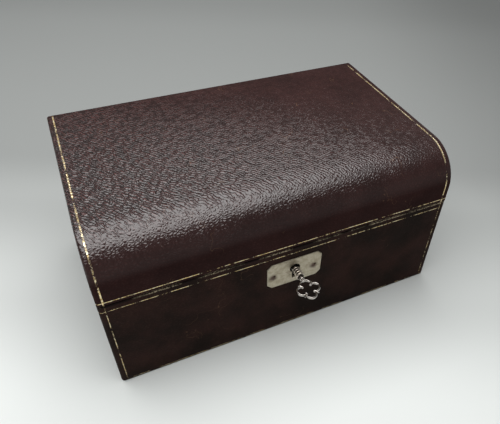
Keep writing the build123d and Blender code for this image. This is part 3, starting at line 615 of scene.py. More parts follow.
# near-black metal inside the lock: painted shade seen through the keyhole
lockPaintedShade = metal("lockPaintedShade", (0.0070, 0.0062, 0.0058), (0.0035, 0.0030, 0.0026), 0.62, 0.5)
lockSteel = metal("lockSteel", (0.24, 0.23, 0.22), (0.09, 0.065, 0.05), 0.45, 0.7)
rustySteel = metal("rustySteel", (0.070, 0.042, 0.030), (0.040, 0.018, 0.010), 0.62, 0.8, blotch=1)
blackSteel = metal("blackSteel", (0.055, 0.052, 0.05), (0.03, 0.02, 0.016), 0.5, 0.6)

plateLook = {
    "metal": (0.505, 0.45, 0.35), "dull": (0.35, 0.30, 0.215), "stain": (0.075, 0.035, 0.018),
    "pins": ((-14.6, 63.1), (18.6, 63.1)), "stainReach": 4.6, "keyhole": (2.0, 65.4), "keyholeDarkening": (8.0, 3.6),
}
keyMetalLook = {
    "bright": (0.56, 0.515, 0.48), "tarnish": (0.20, 0.165, 0.145), "bowRough": 0.20,
    "ring": (0.58, 0.51, 0.43), "grooveDark": (0.035, 0.027, 0.022), "grooveDepth": (2.3, 2.9), "shankRough": 0.36,
    "shank": (-92.6, -83.6),
}


def keyMetal():
    # the bow is rubbed bright, the turned shank is warmer, and coloured darker between its rings
    look = keyMetalLook
    material, tree, shader, point = newMaterial("keySteel")
    x, y, z = axes(tree, point)
    radius = distance(tree, x, z, plateLook["keyhole"])
    low, high = look["shank"]
    shank = both(tree, fadeAt(tree, y, low - 0.6, low), fadeAt(tree, y, high + 0.4, high))
    patch = patches(tree, point, 2.6, 0.42, 0.72, 5.0, 0.6)
    bright = blendColour(tree, both(tree, patch, 0.6), look["bright"], look["tarnish"])
    # coloured darker deep between the rings
    rings = blendColour(tree, fadeAt(tree, radius, *look["grooveDepth"]), look["grooveDark"], look["ring"])
    rough = scaled(tree, patch, 0.12, blendNumber(tree, shank, look["bowRough"], look["shankRough"]))
    relief(tree, shader, cloud(tree, point, 0.9), 0.03)
    setValues(tree, shader, colour=blendColour(tree, shank, bright, rings), rough=rough, metal=1.0)
    return material


def platedNickel():
    # the lock plate, stained round its pins and coloured darker round the keyhole
    look = plateLook
    material, tree, shader, point = newMaterial("nickelPlate")
    x, y, z = axes(tree, stirred(tree, point, 3, 1.2))
    near = [fadeAt(tree, distance(tree, x, z, pin), look["stainReach"], 0.3) for pin in look["pins"]]
    stain = calc(tree, 'MULTIPLY', either(tree, *near), scaled(tree, cloud(tree, point, 2, 4.0), 1.3, 0.50), clamp=True)
    mottle = patches(tree, point, 3.5, 0.35, 0.70, 5.0, 0.65)
    brushed = cloud(tree, stretched(tree, point, 0.05), 0.25, 2.0)
    speckle = both(tree, patches(tree, point, 0.8, 0.62, 0.72, 3.0, 0.7), 0.4)
    tone = blendColour(tree, speckle, blendColour(tree, mottle, look["metal"], look["dull"]), look["stain"])
    # coloured darker round the keyhole
    keyholeDarkening = both(tree, fadeAt(tree, distance(tree, x, z, look["keyhole"]), *look["keyholeDarkening"]),
               patches(tree, point, 3.2, 0.42, 0.60), 0.40)
    tone = blendColour(tree, keyholeDarkening, tone, look["stain"])
    relief(tree, shader, scaled(tree, mottle, 0.8, brushed), 0.035)
    setValues(tree, shader, colour=blendColour(tree, stain, tone, look["stain"]),
              metal=scaled(tree, stain, -0.6, 0.82), rough=scaled(tree, brushed, 0.20, 0.36))
    return material


keySteel = keyMetal()
nickel = platedNickel()

finishes = (
    # the front board gets the pine in painted shade
    (pineInShade, "base_front_board"),
    (pine, "base_back_board base_left_board base_right_board base_bottom_board lid_top_panel lid_back_board "
           "lid_left_board lid_right_board"),
    (nickel, "escutcheon"), (rustySteel, "escutcheon_pins"), (blackSteel, "lock_back_plate"),
    # the lock's inside gets the metal in painted shade
    (lockPaintedShade, "lock_case lock_curtain"), (lockSteel, "lock_drill_pin lock_stumps lock_bolt_spring"),
    (lockBrass, "lock_bolt hinge_pin_left hinge_pin_right"),
    (agedBrass, "lock_selvedge lock_selvedge_screws lock_staple lock_staple_screws hinge_base_leaf_left "
                "hinge_base_leaf_right hinge_lid_leaf_left hinge_lid_leaf_right hinge_base_screws hinge_lid_screws"),
    (wineVelvet, "tray_floor_board tray_front_wall tray_back_wall tray_left_wall tray_right_wall tray_ring_divider "
                 "tray_side_divider tray_middle_divider tray_end_divider tray_rest_left tray_rest_right"),
)
for finish, names in finishes:
    for name in names.split():
        nodes[name].data.materials.clear()
        nodes[name].data.materials.append(finish)
print("wood, metals and cloth mixed")


# The leather over the lid and over the case

skinLook = {
    "thick": 0.92,           # as it shows, a little under the solid's
    "backRound": 2.4, "endRound": 2.0, "cornerRound": 2.6, "footRound": 1.2, "rimRound": 0.4,
    "lidInner": (128.5, 76.0), "caseInner": (126.5, 74.0), "footInner": (125.0, 72.5),     # where it is turned in to
    "sway": 0.10, "swaySize": 35, "lidStep": 6, "lidRise": 4, "caseStep": 7, "caseRise": 6,
    "hinge": (82.0, 15.2, 75.9, 83.5),          # middle and half length of its window, and from where to where
    "staple": (-15.2, 19.2, -81.1, -75.0), "selvedge": (-22.2, 26.2, -81.1, -73.0),
    "plate": (2.0, 63.1), "plateHalf": (22.45, 12.6), "plateClip": 3.6,
}


def cutHinges(bm, low, high):
    place, half, front, back = skinLook["hinge"]
    for side in (-1, 1):
        cutWindow(bm, (side * place - half, front, low), (side * place + half, back, high))


def turnUnder(bm, inner, drop, radius):
    # rounds an open rim and turns it in to a rectangle; drop is -1 downwards, 1 upwards
    edges = openRim(bm)
    starts = {}
    innerX, innerY = inner
    for k in range(1, 5):
        made = bmesh.ops.extrude_edge_only(bm, edges=edges)["geom"]
        fresh = [item for item in made if isinstance(item, bmesh.types.BMVert)]
        edges = [item for item in made if isinstance(item, bmesh.types.BMEdge) and item.is_boundary]
        for vert in fresh:
            key = (round(vert.co.x, 7), round(vert.co.y, 7))
            start = starts[key] if k > 1 else vert.co.copy()
            rim = Vector((max(-innerX, min(innerX, start.x / mm)), max(-innerY, min(innerY, start.y / mm)), 0)) * mm
            rim.z = start.z
            if k < 4:
                angle = math.radians(30 * k)
                way = (rim - start).normalized()
                vert.co = start + way * radius * mm * (1 - math.cos(angle))
                vert.co.z = start.z + drop * radius * mm * math.sin(angle)
                starts[(round(vert.co.x, 7), round(vert.co.y, 7))] = start
            else:
                vert.co = rim
                vert.co.z = start.z + drop * radius * mm
    bmesh.ops.remove_doubles(bm, verts=bm.verts, dist=1e-6)


def openAt(bm, height):
    # takes away the flat face at a height, leaving an open rim
    deleteFaces(bm, lambda face: abs(middle(face).z - height) < 0.01 and abs(face.normal.z) > 0.9)


def layOn(name, bm, body, finish, node):
    piece = newPiece(name, bm, body, finish, 50)
    solidify = piece.modifiers.new("skin", 'SOLIDIFY')
    solidify.thickness = skinLook["thick"] * mm
    solidify.offset = -1
    solidify.use_even_offset = True
    applyModifiers(piece, 50)
    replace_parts(piece, node)


def lidSkin():
    look, box = skinLook, boxSize
    foot, high = box["lidFoot"] + look["rimRound"], box["top"] - 11
    bm = blockMesh((-box["halfX"], -box["halfY"], foot), (box["halfX"], box["halfY"], box["top"]))
    bevelEdges(bm, lambda e: along(e, 0) and middle(e).z > high and middle(e).y < 0, box["curve"], 28)
    bevelEdges(bm, lambda e: along(e, 0) and middle(e).z > high and middle(e).y > 80, look["backRound"], 4)
    bevelEdges(bm, lambda e: abs(middle(e).x) > box["halfX"] - 0.1 and middle(e).z > foot + 0.01, look["endRound"], 4)
    bm.normal_update()
    openAt(bm, foot)
    turnUnder(bm, look["lidInner"], -1, look["rimRound"])
    cutAcross(bm, 0, evenPlaces(2 - box["halfX"], box["halfX"] - 2, look["lidStep"]))
    cutAcross(bm, 1, evenPlaces(box["bendY"], 80, look["lidStep"]))
    cutAcross(bm, 2, evenPlaces(foot + 1, box["bendZ"], look["lidRise"]))
    waver(bm, look["sway"], look["swaySize"], lambda point: point.z > foot + 1)
    cutHinges(bm, box["lidFoot"] - 0.5, box["lidFoot"] + 1.0)
    x0, x1, y0, y1 = look["staple"]
    cutWindow(bm, (x0, y0, box["lidFoot"] - 0.5), (x1, y1, box["lidFoot"] + 0.9))
    layOn("lidSkin", bm, "lid", lidLeather, "lid_leather")


def caseSkin():
    look, box = skinLook, boxSize
    low, high = look["footRound"], box["caseTop"] - look["rimRound"]
    bm = blockMesh((-box["halfX"], -box["halfY"], low), (box["halfX"], box["halfY"], high))
    bevelEdges(bm, lambda e: along(e, 2), look["cornerRound"], 6)
    bm.normal_update()
    openAt(bm, low)
    turnUnder(bm, look["footInner"], -1, look["footRound"])
    bmesh.ops.holes_fill(bm, edges=openRim(bm))
    bm.normal_update()
    openAt(bm, high)
    turnUnder(bm, look["caseInner"], 1, look["rimRound"])
    bm.normal_update()
    deleteFaces(bm, lambda face: all(abs(part) < 1 for part in middle(face)))
    cutAcross(bm, 0, evenPlaces(3 - box["halfX"], box["halfX"] - 3, look["caseStep"]))
    cutAcross(bm, 1, evenPlaces(3.5 - box["halfY"], box["halfY"] - 3.5, look["caseStep"]))
    cutAcross(bm, 2, evenPlaces(2, 85, look["caseRise"]))
    waver(bm, look["sway"], look["swaySize"], lambda point: 2 < point.z < box["caseTop"] - 1)
    cutHinges(bm, box["caseTop"] - 1.0, box["caseTop"] + 0.5)
    x0, x1, y0, y1 = look["selvedge"]
    cutWindow(bm, (x0, y0, box["caseTop"] - 0.9), (x1, y1, box["caseTop"] + 0.5))
    (x, z), (reachX, reachZ), clip = look["plate"], look["plateHalf"], look["plateClip"]
    slants = [((x + i * (reachX - clip), -82, z + k * reachZ), Vector((i, 0, k)).normalized())
              for i in (-1, 1) for k in (-1, 1)]
    cutWindow(bm, (x - reachX, -83, z - reachZ), (x + reachX, -80, z + reachZ), slants)
    layOn("caseSkin", bm, "base", caseLeather, "base_leather")


lidSkin()
caseSkin()
print("leather laid on")


# The key

keyLook = {
    "x": 2.0, "height": 65.4, "face": -82.5, "tip": -7.3, "bore": 1.2, "boreEnd": 4.3, "barrel": 2.35,
    "boreCone": 0.6, "tipRound": 0.25,
    "beads": ((2.3, 0.60, 2.85), (4.4, 0.66, 3.10), (6.6, 0.72, 3.35), (9.0, 1.0, 3.5), (12.1, 0.75, 1.9)),
    "necks": (2.0, 2.05, 2.15, 2.2, 1.4, 1.1), "end": 14.6,
    "bowOut": 22.5, "lobeOffset": 4.7, "lobe": 3.8, "sweep": 244, "wire": 0.48, "tall": 1.9, "bud": 0.78,
    "leafOut": 5.9, "leaf": (2.35, 0.62, 1.0), "bit": ((0.9, -79.4, 56.8), (3.1, -75.2, 63.6)),
    "notch": (-77.8, -76.9, 59.3),
}


def addTo(bm, other, turn=None):
    # joins a small bmesh into another
    mesh = bpy.data.meshes.new("scrap")
    other.to_mesh(mesh)
    other.free()
    if turn is not None:
        mesh.transform(turn)
    bm.from_mesh(mesh)
    bpy.data.meshes.remove(mesh)


def turnedShank():
    # the outline, as distance out of the front and radius, spun about the key's axis
    look = keyLook
    tip, edge = look["tip"], look["tipRound"]
    outline = [(look["boreEnd"], 0), (look["boreEnd"] - look["boreCone"], look["bore"]), (tip, look["bore"]),
               (tip, look["barrel"] - edge), (tip + edge, look["barrel"])]
    for k, (place, half, radius) in enumerate(look["beads"]):
        neck, nextNeck = look["necks"][k], look["necks"][k + 1]
        for step in range(9):
            angle = math.pi * step / 8
            base = neck if step < 4 else nextNeck
            outline.append((place - half * math.cos(angle), base + (radius - base) * math.sin(angle)))
    outline += [(look["end"], look["necks"][-1]), (look["end"] + 0.2, 0)]
    bm = bmesh.new()
    verts = [bm.verts.new((radius * mm, -place * mm, 0)) for place, radius in outline]
    edges = [bm.edges.new(pair) for pair in zip(verts, verts[1:])]
    bmesh.ops.spin(bm, geom=verts + edges, cent=(0, 0, 0), axis=(0, 1, 0), angle=2 * math.pi, steps=28,
                   use_merge=True)
    bmesh.ops.remove_doubles(bm, verts=bm.verts, dist=1e-6)
    bmesh.ops.recalc_face_normals(bm, faces=bm.faces)
    return bm


def bowScroll():
    # one round lobe of the bow, thickest in its middle, with a bud on each end
    look = keyLook
    bm = bmesh.new()
    half = math.radians(look["sweep"] / 2)
    ring = bmesh.ops.create_circle(bm, segments=14, radius=look["wire"] * mm)["verts"]
    bmesh.ops.rotate(bm, verts=ring, cent=(0, 0, 0), matrix=Matrix.Rotation(math.pi / 2, 3, 'X'))
    bmesh.ops.translate(bm, verts=ring, vec=(look["lobe"] * mm, 0, 0))
    bmesh.ops.rotate(bm, verts=ring, cent=(0, 0, 0), matrix=Matrix.Rotation(-half, 3, 'Z'))
    bmesh.ops.spin(bm, geom=ring + list(bm.edges), cent=(0, 0, 0), axis=(0, 0, 1), angle=2 * half, steps=30)
    bmesh.ops.holes_fill(bm, edges=openRim(bm))
    for vert in bm.verts:
        way = Vector((vert.co.x, vert.co.y, 0))
        share = abs(math.atan2(vert.co.y, vert.co.x)) / half
        swell = 1.22 - 0.50 * share ** 2
        out = look["lobe"] * mm + (way.length - look["lobe"] * mm) * swell
        flat = way.normalized() * out
        vert.co = Vector((flat.x, flat.y, vert.co.z * swell * look["tall"]))
    for side in (-1, 1):
        bud = bmesh.new()
        bmesh.ops.create_icosphere(bud, subdivisions=2, radius=look["bud"] * mm)
        bmesh.ops.scale(bud, vec=(1, 1, 1.25), verts=bud.verts)
        angle = side * (half - math.radians(4))
        way = Vector((math.cos(angle), math.sin(angle), 0))
        bmesh.ops.translate(bud, vec=way * look["lobe"] * 0.97 * mm, verts=bud.verts)
        addTo(bm, bud)
    bmesh.ops.translate(bm, verts=bm.verts, vec=(look["lobeOffset"] * mm, 0, 0))
    return bm


def bowLeaf():
    # the small leaf that stands out where two lobes meet
    look = keyLook
    bm = bmesh.new()
    bmesh.ops.create_uvsphere(bm, u_segments=12, v_segments=8, radius=1 * mm)
    bmesh.ops.rotate(bm, verts=bm.verts, cent=(0, 0, 0), matrix=Matrix.Rotation(math.pi / 2, 3, 'Y'))
    bmesh.ops.scale(bm, vec=look["leaf"], verts=bm.verts)
    for vert in bm.verts:
        vert.co.y *= 1 - 0.22 * vert.co.x / mm / look["leaf"][0]
    bmesh.ops.translate(bm, verts=bm.verts, vec=(look["leafOut"] * mm, 0, 0))
    return bm


def makeKey():
    look = keyLook
    bm = bmesh.new()
    at = Matrix.Translation(Vector((look["x"], look["face"], look["height"])) * mm)
    addTo(bm, turnedShank(), at)
    bow = Matrix.Translation(Vector((look["x"], look["face"] - look["bowOut"], look["height"])) * mm)
    for k in range(4):
        addTo(bm, bowScroll(), bow @ Matrix.Rotation(math.radians(90 * k), 4, 'Z'))
        addTo(bm, bowLeaf(), bow @ Matrix.Rotation(math.radians(90 * k + 45), 4, 'Z'))
    bit = blockMesh(*look["bit"])
    front, back, height = look["notch"]
    cutAcross(bit, 1, (front, back))
    cutAcross(bit, 2, (height,))
    deleteFaces(bit, lambda face: middle(face).z < height - 0.01 and front < middle(face).y < back)
    bmesh.ops.holes_fill(bit, edges=openRim(bit))
    addTo(bm, bit)
    piece = newPiece("keyForged", bm, "key", keySteel, 40)
    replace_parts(piece, "key")


makeKey()
print("key turned")


# Linings and pads

clothLook = {
    "lining": {"edge": 0.7, "crown": 0.35, "step": 9},
    "floorPad": {"edge": 1.6, "crown": 0.9, "step": 9},
    "rise": 12,              # how far in from its edge a lining reaches its full thickness
    "cardLow": (-124.8, -72.3, 0.04), "cardHigh": (124.8, 72.3, 0.98), "cardRound": 0.3,
}


def softSlab(name, node, axis, side, look, body, finish):
    # a covered card or thin pad in the node's own outline, crowned on one face
    bm = bmesh.new()
    bm.from_mesh(nodes[node].data)
    bmesh.ops.remove_doubles(bm, verts=bm.verts, dist=1e-6)
    bmesh.ops.dissolve_limit(bm, angle_limit=math.radians(1), verts=bm.verts, edges=bm.edges)
    low, high = (Vector(corner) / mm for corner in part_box(node))
    flatAxes = [k for k in range(3) if k != axis]
    for k in flatAxes:
        cutAcross(bm, k, evenPlaces(low[k], high[k], look["step"]))
        cutAcross(bm, k, [low[k] + look["edge"], high[k] - look["edge"]])
    face = high[axis] if side > 0 else low[axis]
    for vert in bm.verts:
        point = vert.co / mm
        if abs(point[axis] - face) < 0.01:
            inward = min(min(point[k] - low[k], high[k] - point[k]) for k in flatAxes)
            turn = max(0.0, 1 - inward / look["edge"])
            swell = min(1.0, inward / clothLook["rise"])
            lift = look["crown"] * (swell * (2 - swell)) - look["crown"]
            lift -= look["edge"] * 0.5 * turn ** 2
            point[axis] += side * lift
            vert.co = point * mm
    piece = newPiece(name, bm, body, finish)
    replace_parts(piece, node)


for body, slotName, finish in (("base", "velvet", wineVelvet), ("lid", "satin", goldSatin)):
    for edge, axis, side in (("front", 1, 1), ("back", 1, -1), ("left", 0, 1), ("right", 0, -1)):
        softSlab(f"{slotName}_{edge}_lining", f"{body}_{edge}_lining", axis, side, clothLook["lining"], body,
                 finish)
softSlab("velvet_floor_pad", "base_floor_pad", 2, 1, clothLook["floorPad"], "base", wineVelvet)


def undersideCard():
    bm = blockMesh(clothLook["cardLow"], clothLook["cardHigh"])
    bevelEdges(bm, lambda e: True, clothLook["cardRound"], 2)
    piece = newPiece("underside_card", bm, "base", darkCloth, 35)
    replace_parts(piece, "underside_cover")


undersideCard()
print("linings laid in")


# Simulated padding

settleLook = {
    "frames": 20, "quality": 6, "mass": 0.0006, "stretch": 12, "shear": 4, "bend": 0.01,
}


def settle(piece, held, pressure, cap, spare):
    # lets the cover settle over its stuffing and keeps the result; held is a weight for each vertex,
    # and spare is how much longer the cloth is than the shape that it starts from
    look = settleLook
    starts = [vert.co.copy() for vert in piece.data.vertices]
    group = piece.vertex_groups.new(name="held")
    group.add([index for index, weight in enumerate(held) if weight], 1.0, 'REPLACE')
    cloth = piece.modifiers.new("cover", 'CLOTH')
    cover = cloth.settings
    cover.quality, cover.mass = look["quality"], look["mass"]
    cover.vertex_group_mass = "held"
    cover.use_pressure, cover.uniform_pressure_force = True, pressure
    cover.effector_weights.gravity = 0
    cover.shrink_min = -spare
    cover.tension_stiffness = cover.compression_stiffness = look["stretch"]
    cover.shear_stiffness, cover.bending_stiffness = look["shear"], look["bend"]
    cloth.point_cache.frame_start, cloth.point_cache.frame_end = 1, look["frames"]
    scene = bpy.context.scene
    for step in range(1, look["frames"] + 1):
        scene.frame_set(step)
    mesh = evaluatedMesh(piece)
    piece.modifiers.clear()
    piece.vertex_groups.clear()
    far = 0
    for vert, start in zip(mesh.vertices, starts):
        move = vert.co - start
        far = max(far, move.length)
        if move.length > cap * mm:
            vert.co = start + move.normalized() * cap * mm
    piece.data = mesh
    scene.frame_set(1)
    print(piece.name, "moved up to", round(far / mm, 2), "mm")


def smoothOnce(piece):
    # one level of subdivision, kept in the mesh
    surface = piece.modifiers.new("surface", 'SUBSURF')
    surface.levels = surface.render_levels = 1
    applyModifiers(piece)


# The tufted satin cushion in the lid, made flat and then bent to the lid

cushionLook = {
    "half": 128.4, "depth": 152.2, "thick": 6.6, "cell": 2.4, "pitchX": 42.8, "pitchV": 40.0, "firstRow": 16.0,
    "puff": 0.42, "border": 9.0, "borderLow": 0.34, "buttonDeep": 4.1, "button": 3.6, "buttonFlat": 0.52,
    "straight": 128.5, "outer": 23.4, "bend": 19.4, "backY": 75.95,     # flat so far, and then bent to the lid
    "pressure": 12.0, "spare": 0.10, "cap": 1.9, "easeFrom": 5.9, "most": 7.95,
}


def cushionEdge(u, v):
    # how far a place lies from the nearest edge
    look = cushionLook
    return min(look["half"] - abs(u), v, look["depth"] - v)


def cushionHeight(u, v):
    # how far the cover stands off the board, before it settles
    look = cushionLook
    p = u / look["pitchX"]
    q = (v - look["firstRow"]) / look["pitchV"]
    puff = abs(math.sin(math.pi * (p + q)) * math.sin(math.pi * (p - q))) ** look["puff"]
    border = min(1.0, max(0.0, cushionEdge(u, v) / look["border"]))
    border = math.sqrt(border * (2 - border))
    low = look["thick"] - look["buttonDeep"]
    return (low + (look["thick"] - low) * puff) * (look["borderLow"] + (1 - look["borderLow"]) * border)


def cushionButtons():
    look = cushionLook
    spots = []
    row, v = 0, look["firstRow"]
    while v < look["depth"] - 8:
        across = [(k + row % 2 / 2) * look["pitchX"] for k in range(-3, 4)]
        spots += [(u, v) for u in across if abs(u) < look["half"] - 9]
        row, v = row + 1, v + look["pitchV"] / 2
    return spots


def bendToLid(u, v, w):
    look, box = cushionLook, boxSize
    if v <= look["straight"]:
        return Vector((u, look["backY"] - v, box["bendZ"] + look["outer"] - w)) * mm
    angle = (v - look["straight"]) / look["bend"]
    radius = look["outer"] - w
    return Vector((u, box["bendY"] - radius * math.sin(angle), box["bendZ"] + radius * math.cos(angle))) * mm


def lidCushion():
    look = cushionLook
    bm = blockMesh((-look["half"], 0, 0), (look["half"], look["depth"], look["thick"]))
    cutAcross(bm, 0, evenPlaces(-look["half"], look["half"], look["cell"]))
    cutAcross(bm, 1, evenPlaces(0, look["depth"], look["cell"]))
    for vert in bm.verts:
        u, v, w = vert.co / mm
        if w > 0.1:
            vert.co.z = cushionHeight(u, v) * mm
    piece = newPiece("satin_cushion", bm, "lid", goldSatin)
    spots = cushionButtons()
    held = []
    for vert in piece.data.vertices:
        u, v, w = vert.co / mm
        near = min(math.hypot(u - i, v - k) for i, k in spots)
        held.append(w < 0.1 or cushionEdge(u, v) < 0.2 or near < look["button"] * 0.8)
    settle(piece, held, look["pressure"], look["cap"], look["spare"])
    room = look["most"] - look["easeFrom"]
    for vert in piece.data.vertices:
        u, v, w = vert.co / mm
        over = max(0.0, w - look["easeFrom"])
        w = max(0.0, min(w, look["easeFrom"])) + room * (1 - math.exp(-over / room))
        vert.co = Vector((max(-look["half"], min(look["half"], u)), max(0, min(look["depth"], v)), w)) * mm
    smoothOnce(piece)
    bm = bmesh.new()
    bm.from_mesh(piece.data)
    for u, v in spots:
        button = bmesh.new()
        bmesh.ops.create_uvsphere(button, u_segments=16, v_segments=8, radius=look["button"] * mm)
        bmesh.ops.scale(button, vec=(1, 1, look["buttonFlat"]), verts=button.verts)
        place = Vector((u, v, look["thick"] - look["buttonDeep"] + 0.5))
        bmesh.ops.translate(button, vec=place * mm, verts=button.verts)
        addTo(bm, button)
    for vert in bm.verts:
        vert.co = bendToLid(*(vert.co / mm))
    bmesh.ops.recalc_face_normals(bm, faces=bm.faces)
    bm.to_mesh(piece.data)
    bm.free()
    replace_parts(piece, "lid_cushion")


lidCushion()
print("lid cushion tufted")


# The tray's soft pieces

trayLook = {
    "floor": 59.2, "rollX": (-119.9, -38.35), "rollY": -68.0, "rolls": 7, "rollPitch": 19.43, "rollZ": 67.5,
    "rollRadius": 9.15, "rollRound": 3.4, "rollDome": 1.6, "rollSides": 26, "rollCuts": 28, "rollRing": 2.2,
    "rollFoot": 1.2, "rollMost": 9.45, "rollPressure": 10.0, "rollCap": 0.5, "rollSpare": 0.04,
    "pads": ((-34.95, 48.95, -67.7, 12.45), (-34.95, 48.95, 15.55, 67.7), (52.05, 120.2, -67.7, -22.55),
             (52.05, 120.2, -19.45, 67.7)),
    "padThick": 2.0, "padEdge": 0.9, "padStep": 6, "padRise": 8, "padCrown": 0.55, "padDrop": 0.6,
    "tabX": 120.45, "tabHalf": 7.0, "tabFoot": 77.7, "tabFold": 86.2, "tabTop": 93.1, "ribbon": 0.5, "loop": 0.85,
}


def inOrder(bm):
    # edges and faces go by their points, since an extrusion makes them in another order each run, which cloth feels
    bm.verts.index_update()
    count = len(bm.verts)

    def place(item):
        ends = sorted(vert.index for vert in item.verts)
        return (ends[0] * count + ends[1]) * count + ends[-1]
    for items in (bm.edges, bm.faces):
        items.sort(key=place)
        items.index_update()


def rollBody(x0, x1):
    # one roll about the X axis, a tube of even rings with rings of faces on both ends
    look = trayLook
    roll = bmesh.new()
    bmesh.ops.create_circle(roll, segments=look["rollSides"], radius=look["rollRadius"] * mm)
    bmesh.ops.rotate(roll, verts=roll.verts, cent=(0, 0, 0), matrix=Matrix.Rotation(math.pi / 2, 3, 'Y'))
    edges = list(roll.edges)
    stations = [x0 + (x1 - x0) * k / look["rollCuts"] for k in range(look["rollCuts"] + 1)]
    bmesh.ops.translate(roll, verts=roll.verts, vec=(stations[0] * mm, 0, 0))
    for before, after in zip(stations, stations[1:]):
        made = bmesh.ops.extrude_edge_only(roll, edges=edges)["geom"]
        bmesh.ops.translate(roll, verts=[item for item in made if isinstance(item, bmesh.types.BMVert)],
                            vec=((after - before) * mm, 0, 0))
        edges = [item for item in made if isinstance(item, bmesh.types.BMEdge) and item.is_boundary]
    for end in (x0, x1):
        rim = [edge for edge in openRim(roll) if abs(middle(edge).x - end) < 0.01]
        cap = bmesh.ops.edgeloop_fill(roll, edges=rim)["faces"]
        for ring in range(3):
            bmesh.ops.inset_region(roll, faces=cap, thickness=look["rollRing"] * mm, use_even_offset=True)
        bmesh.ops.poke(roll, faces=cap)
    inOrder(roll)
    return roll


def ringRolls():
    # seven velvet rolls side by side; a ring is pushed into the slot between two of them
    look = trayLook
    x0, x1 = look["rollX"]
    floor = look["floor"] * mm
    centres = [Vector((0, look["rollY"] + (k + 0.5) * look["rollPitch"], look["rollZ"])) * mm
               for k in range(look["rolls"])]
    bm = bmesh.new()
    for centre in centres:
        roll = rollBody(x0, x1)
        for vert in roll.verts:
            # drawn in towards both ends, which bulge a little
            x = vert.co.x / mm
            share = Vector((0, vert.co.y, vert.co.z)).length / (look["rollRadius"] * mm)
            bulge = look["rollDome"] * (1 - share ** 2) - look["rollDome"]
            inward = max(0.0, min(x - x0, x1 - x))
            pull = min(1.0, inward / look["rollRound"])
            shrink = 1 - (0.30 if share > 0.99 else 0.20) * (1 - math.sqrt(pull * (2 - pull))) * share
            vert.co.y *= shrink
            vert.co.z *= shrink
            if inward < 0.01:
                vert.co.x += (-1 if x < (x0 + x1) / 2 else 1) * bulge * mm * 0.9
            vert.co += centre
            vert.co.z = max(vert.co.z, floor)
        bmesh.ops.recalc_face_normals(roll, faces=roll.faces)
        addTo(bm, roll)
    piece = newPiece("velvet_ring_rolls", bm, "tray", wineVelvet)
    held = [vert.co.z < (look["floor"] + look["rollFoot"]) * mm for vert in piece.data.vertices]
    settle(piece, held, look["rollPressure"], look["rollCap"], look["rollSpare"])
    for vert in piece.data.vertices:
        # no point leaves its own roll's place
        number = int((vert.co.y / mm - look["rollY"]) // look["rollPitch"])
        centre = centres[min(look["rolls"] - 1, max(0, number))]
        radial = Vector((0, vert.co.y - centre.y, vert.co.z - centre.z))
        reach = min(radial.length, look["rollMost"] * mm)
        x = max(x0 * mm, min(x1 * mm, vert.co.x))
        vert.co = Vector((x, centre.y, centre.z)) + radial.normalized() * reach
        vert.co.z = max(floor, vert.co.z)
    smoothOnce(piece)
    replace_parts(piece, "ring_rolls")


def trayPads():
    look = trayLook
    bm = bmesh.new()
    for x0, x1, y0, y1 in look["pads"]:
        pad = blockMesh((x0, y0, look["floor"]), (x1, y1, look["floor"] + look["padThick"]))
        for axis, low, high in ((0, x0, x1), (1, y0, y1)):
            rims = [low + look["padEdge"], high - look["padEdge"]]
            cutAcross(pad, axis, evenPlaces(low, high, look["padStep"]) + rims)
        for vert in pad.verts:
            x, y, z = vert.co / mm
            if z > look["floor"] + 1:
                inward = min(x - x0, x1 - x, y - y0, y1 - y)
                swell = min(1.0, inward / look["padRise"])
                drop = look["padCrown"] * (1 - swell) ** 2 + (look["padDrop"] if inward < 0.1 else 0)
                vert.co.z -= drop * mm
        addTo(bm, pad)
    piece = newPiece("velvet_tray_pads", bm, "tray", wineVelvet)
    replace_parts(piece, "tray_pads")


def ribbonPath():
    # up the wall, over the loop and down again, as distance from the wall and height
    look = trayLook
    thick, loop, foot, fold = look["ribbon"], look["loop"], look["tabFoot"], look["tabFold"]
    lower, upper = thick / 2, thick * 1.5 + 0.02
    reach = loop + 0.1
    centre = lower + reach
    crown = look["tabTop"] - loop - lower
    path = [(lower, foot + (fold - foot) * k / 4) for k in range(5)]
    path += [(lower, fold + (crown - fold) * k / 4) for k in range(1, 4)]
    turns = [math.pi * k / 10 for k in range(11)]
    path += [(centre - reach * math.cos(turn), crown + loop * math.sin(turn)) for turn in turns]
    for k in range(1, 5):
        share = k / 4
        ease = share * share * (3 - 2 * share)
        far = centre + reach
        path.append((far + (upper - far) * ease, crown + (fold - crown) * share))
    path += [(upper, fold + (foot - fold) * k / 4) for k in range(1, 5)]
    return path


def ribbonLength(path):
    return sum(math.dist(a, b) for a, b in zip(path, path[1:]))


def ribbonTab(name, side):
    look = trayLook
    path = ribbonPath()
    bm = bmesh.new()
    rows = [[bm.verts.new(Vector((side * (look["tabX"] - away), look["tabHalf"] * k / 2, height)) * mm)
             for k in range(-2, 3)] for away, height in path]
    for low, high in zip(rows, rows[1:]):
        for k in range(4):
            bm.faces.new((low[k], low[k + 1], high[k + 1], high[k]))
    piece = newPiece(name, bm, "tray", goldSatin)
    solidify = piece.modifiers.new("weave", 'SOLIDIFY')
    solidify.thickness = look["ribbon"] * 0.8 * mm
    solidify.offset = 0
    applyModifiers(piece)
    return piece


ringRolls()
trayPads()
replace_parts(ribbonTab("ribbon_left", -1), "tray_tabs")
ribbonTab("ribbon_right", 1)
print("tray dressed; each ribbon is", round(ribbonLength(ribbonPath()), 1), "mm long")


# Light, floor and camera

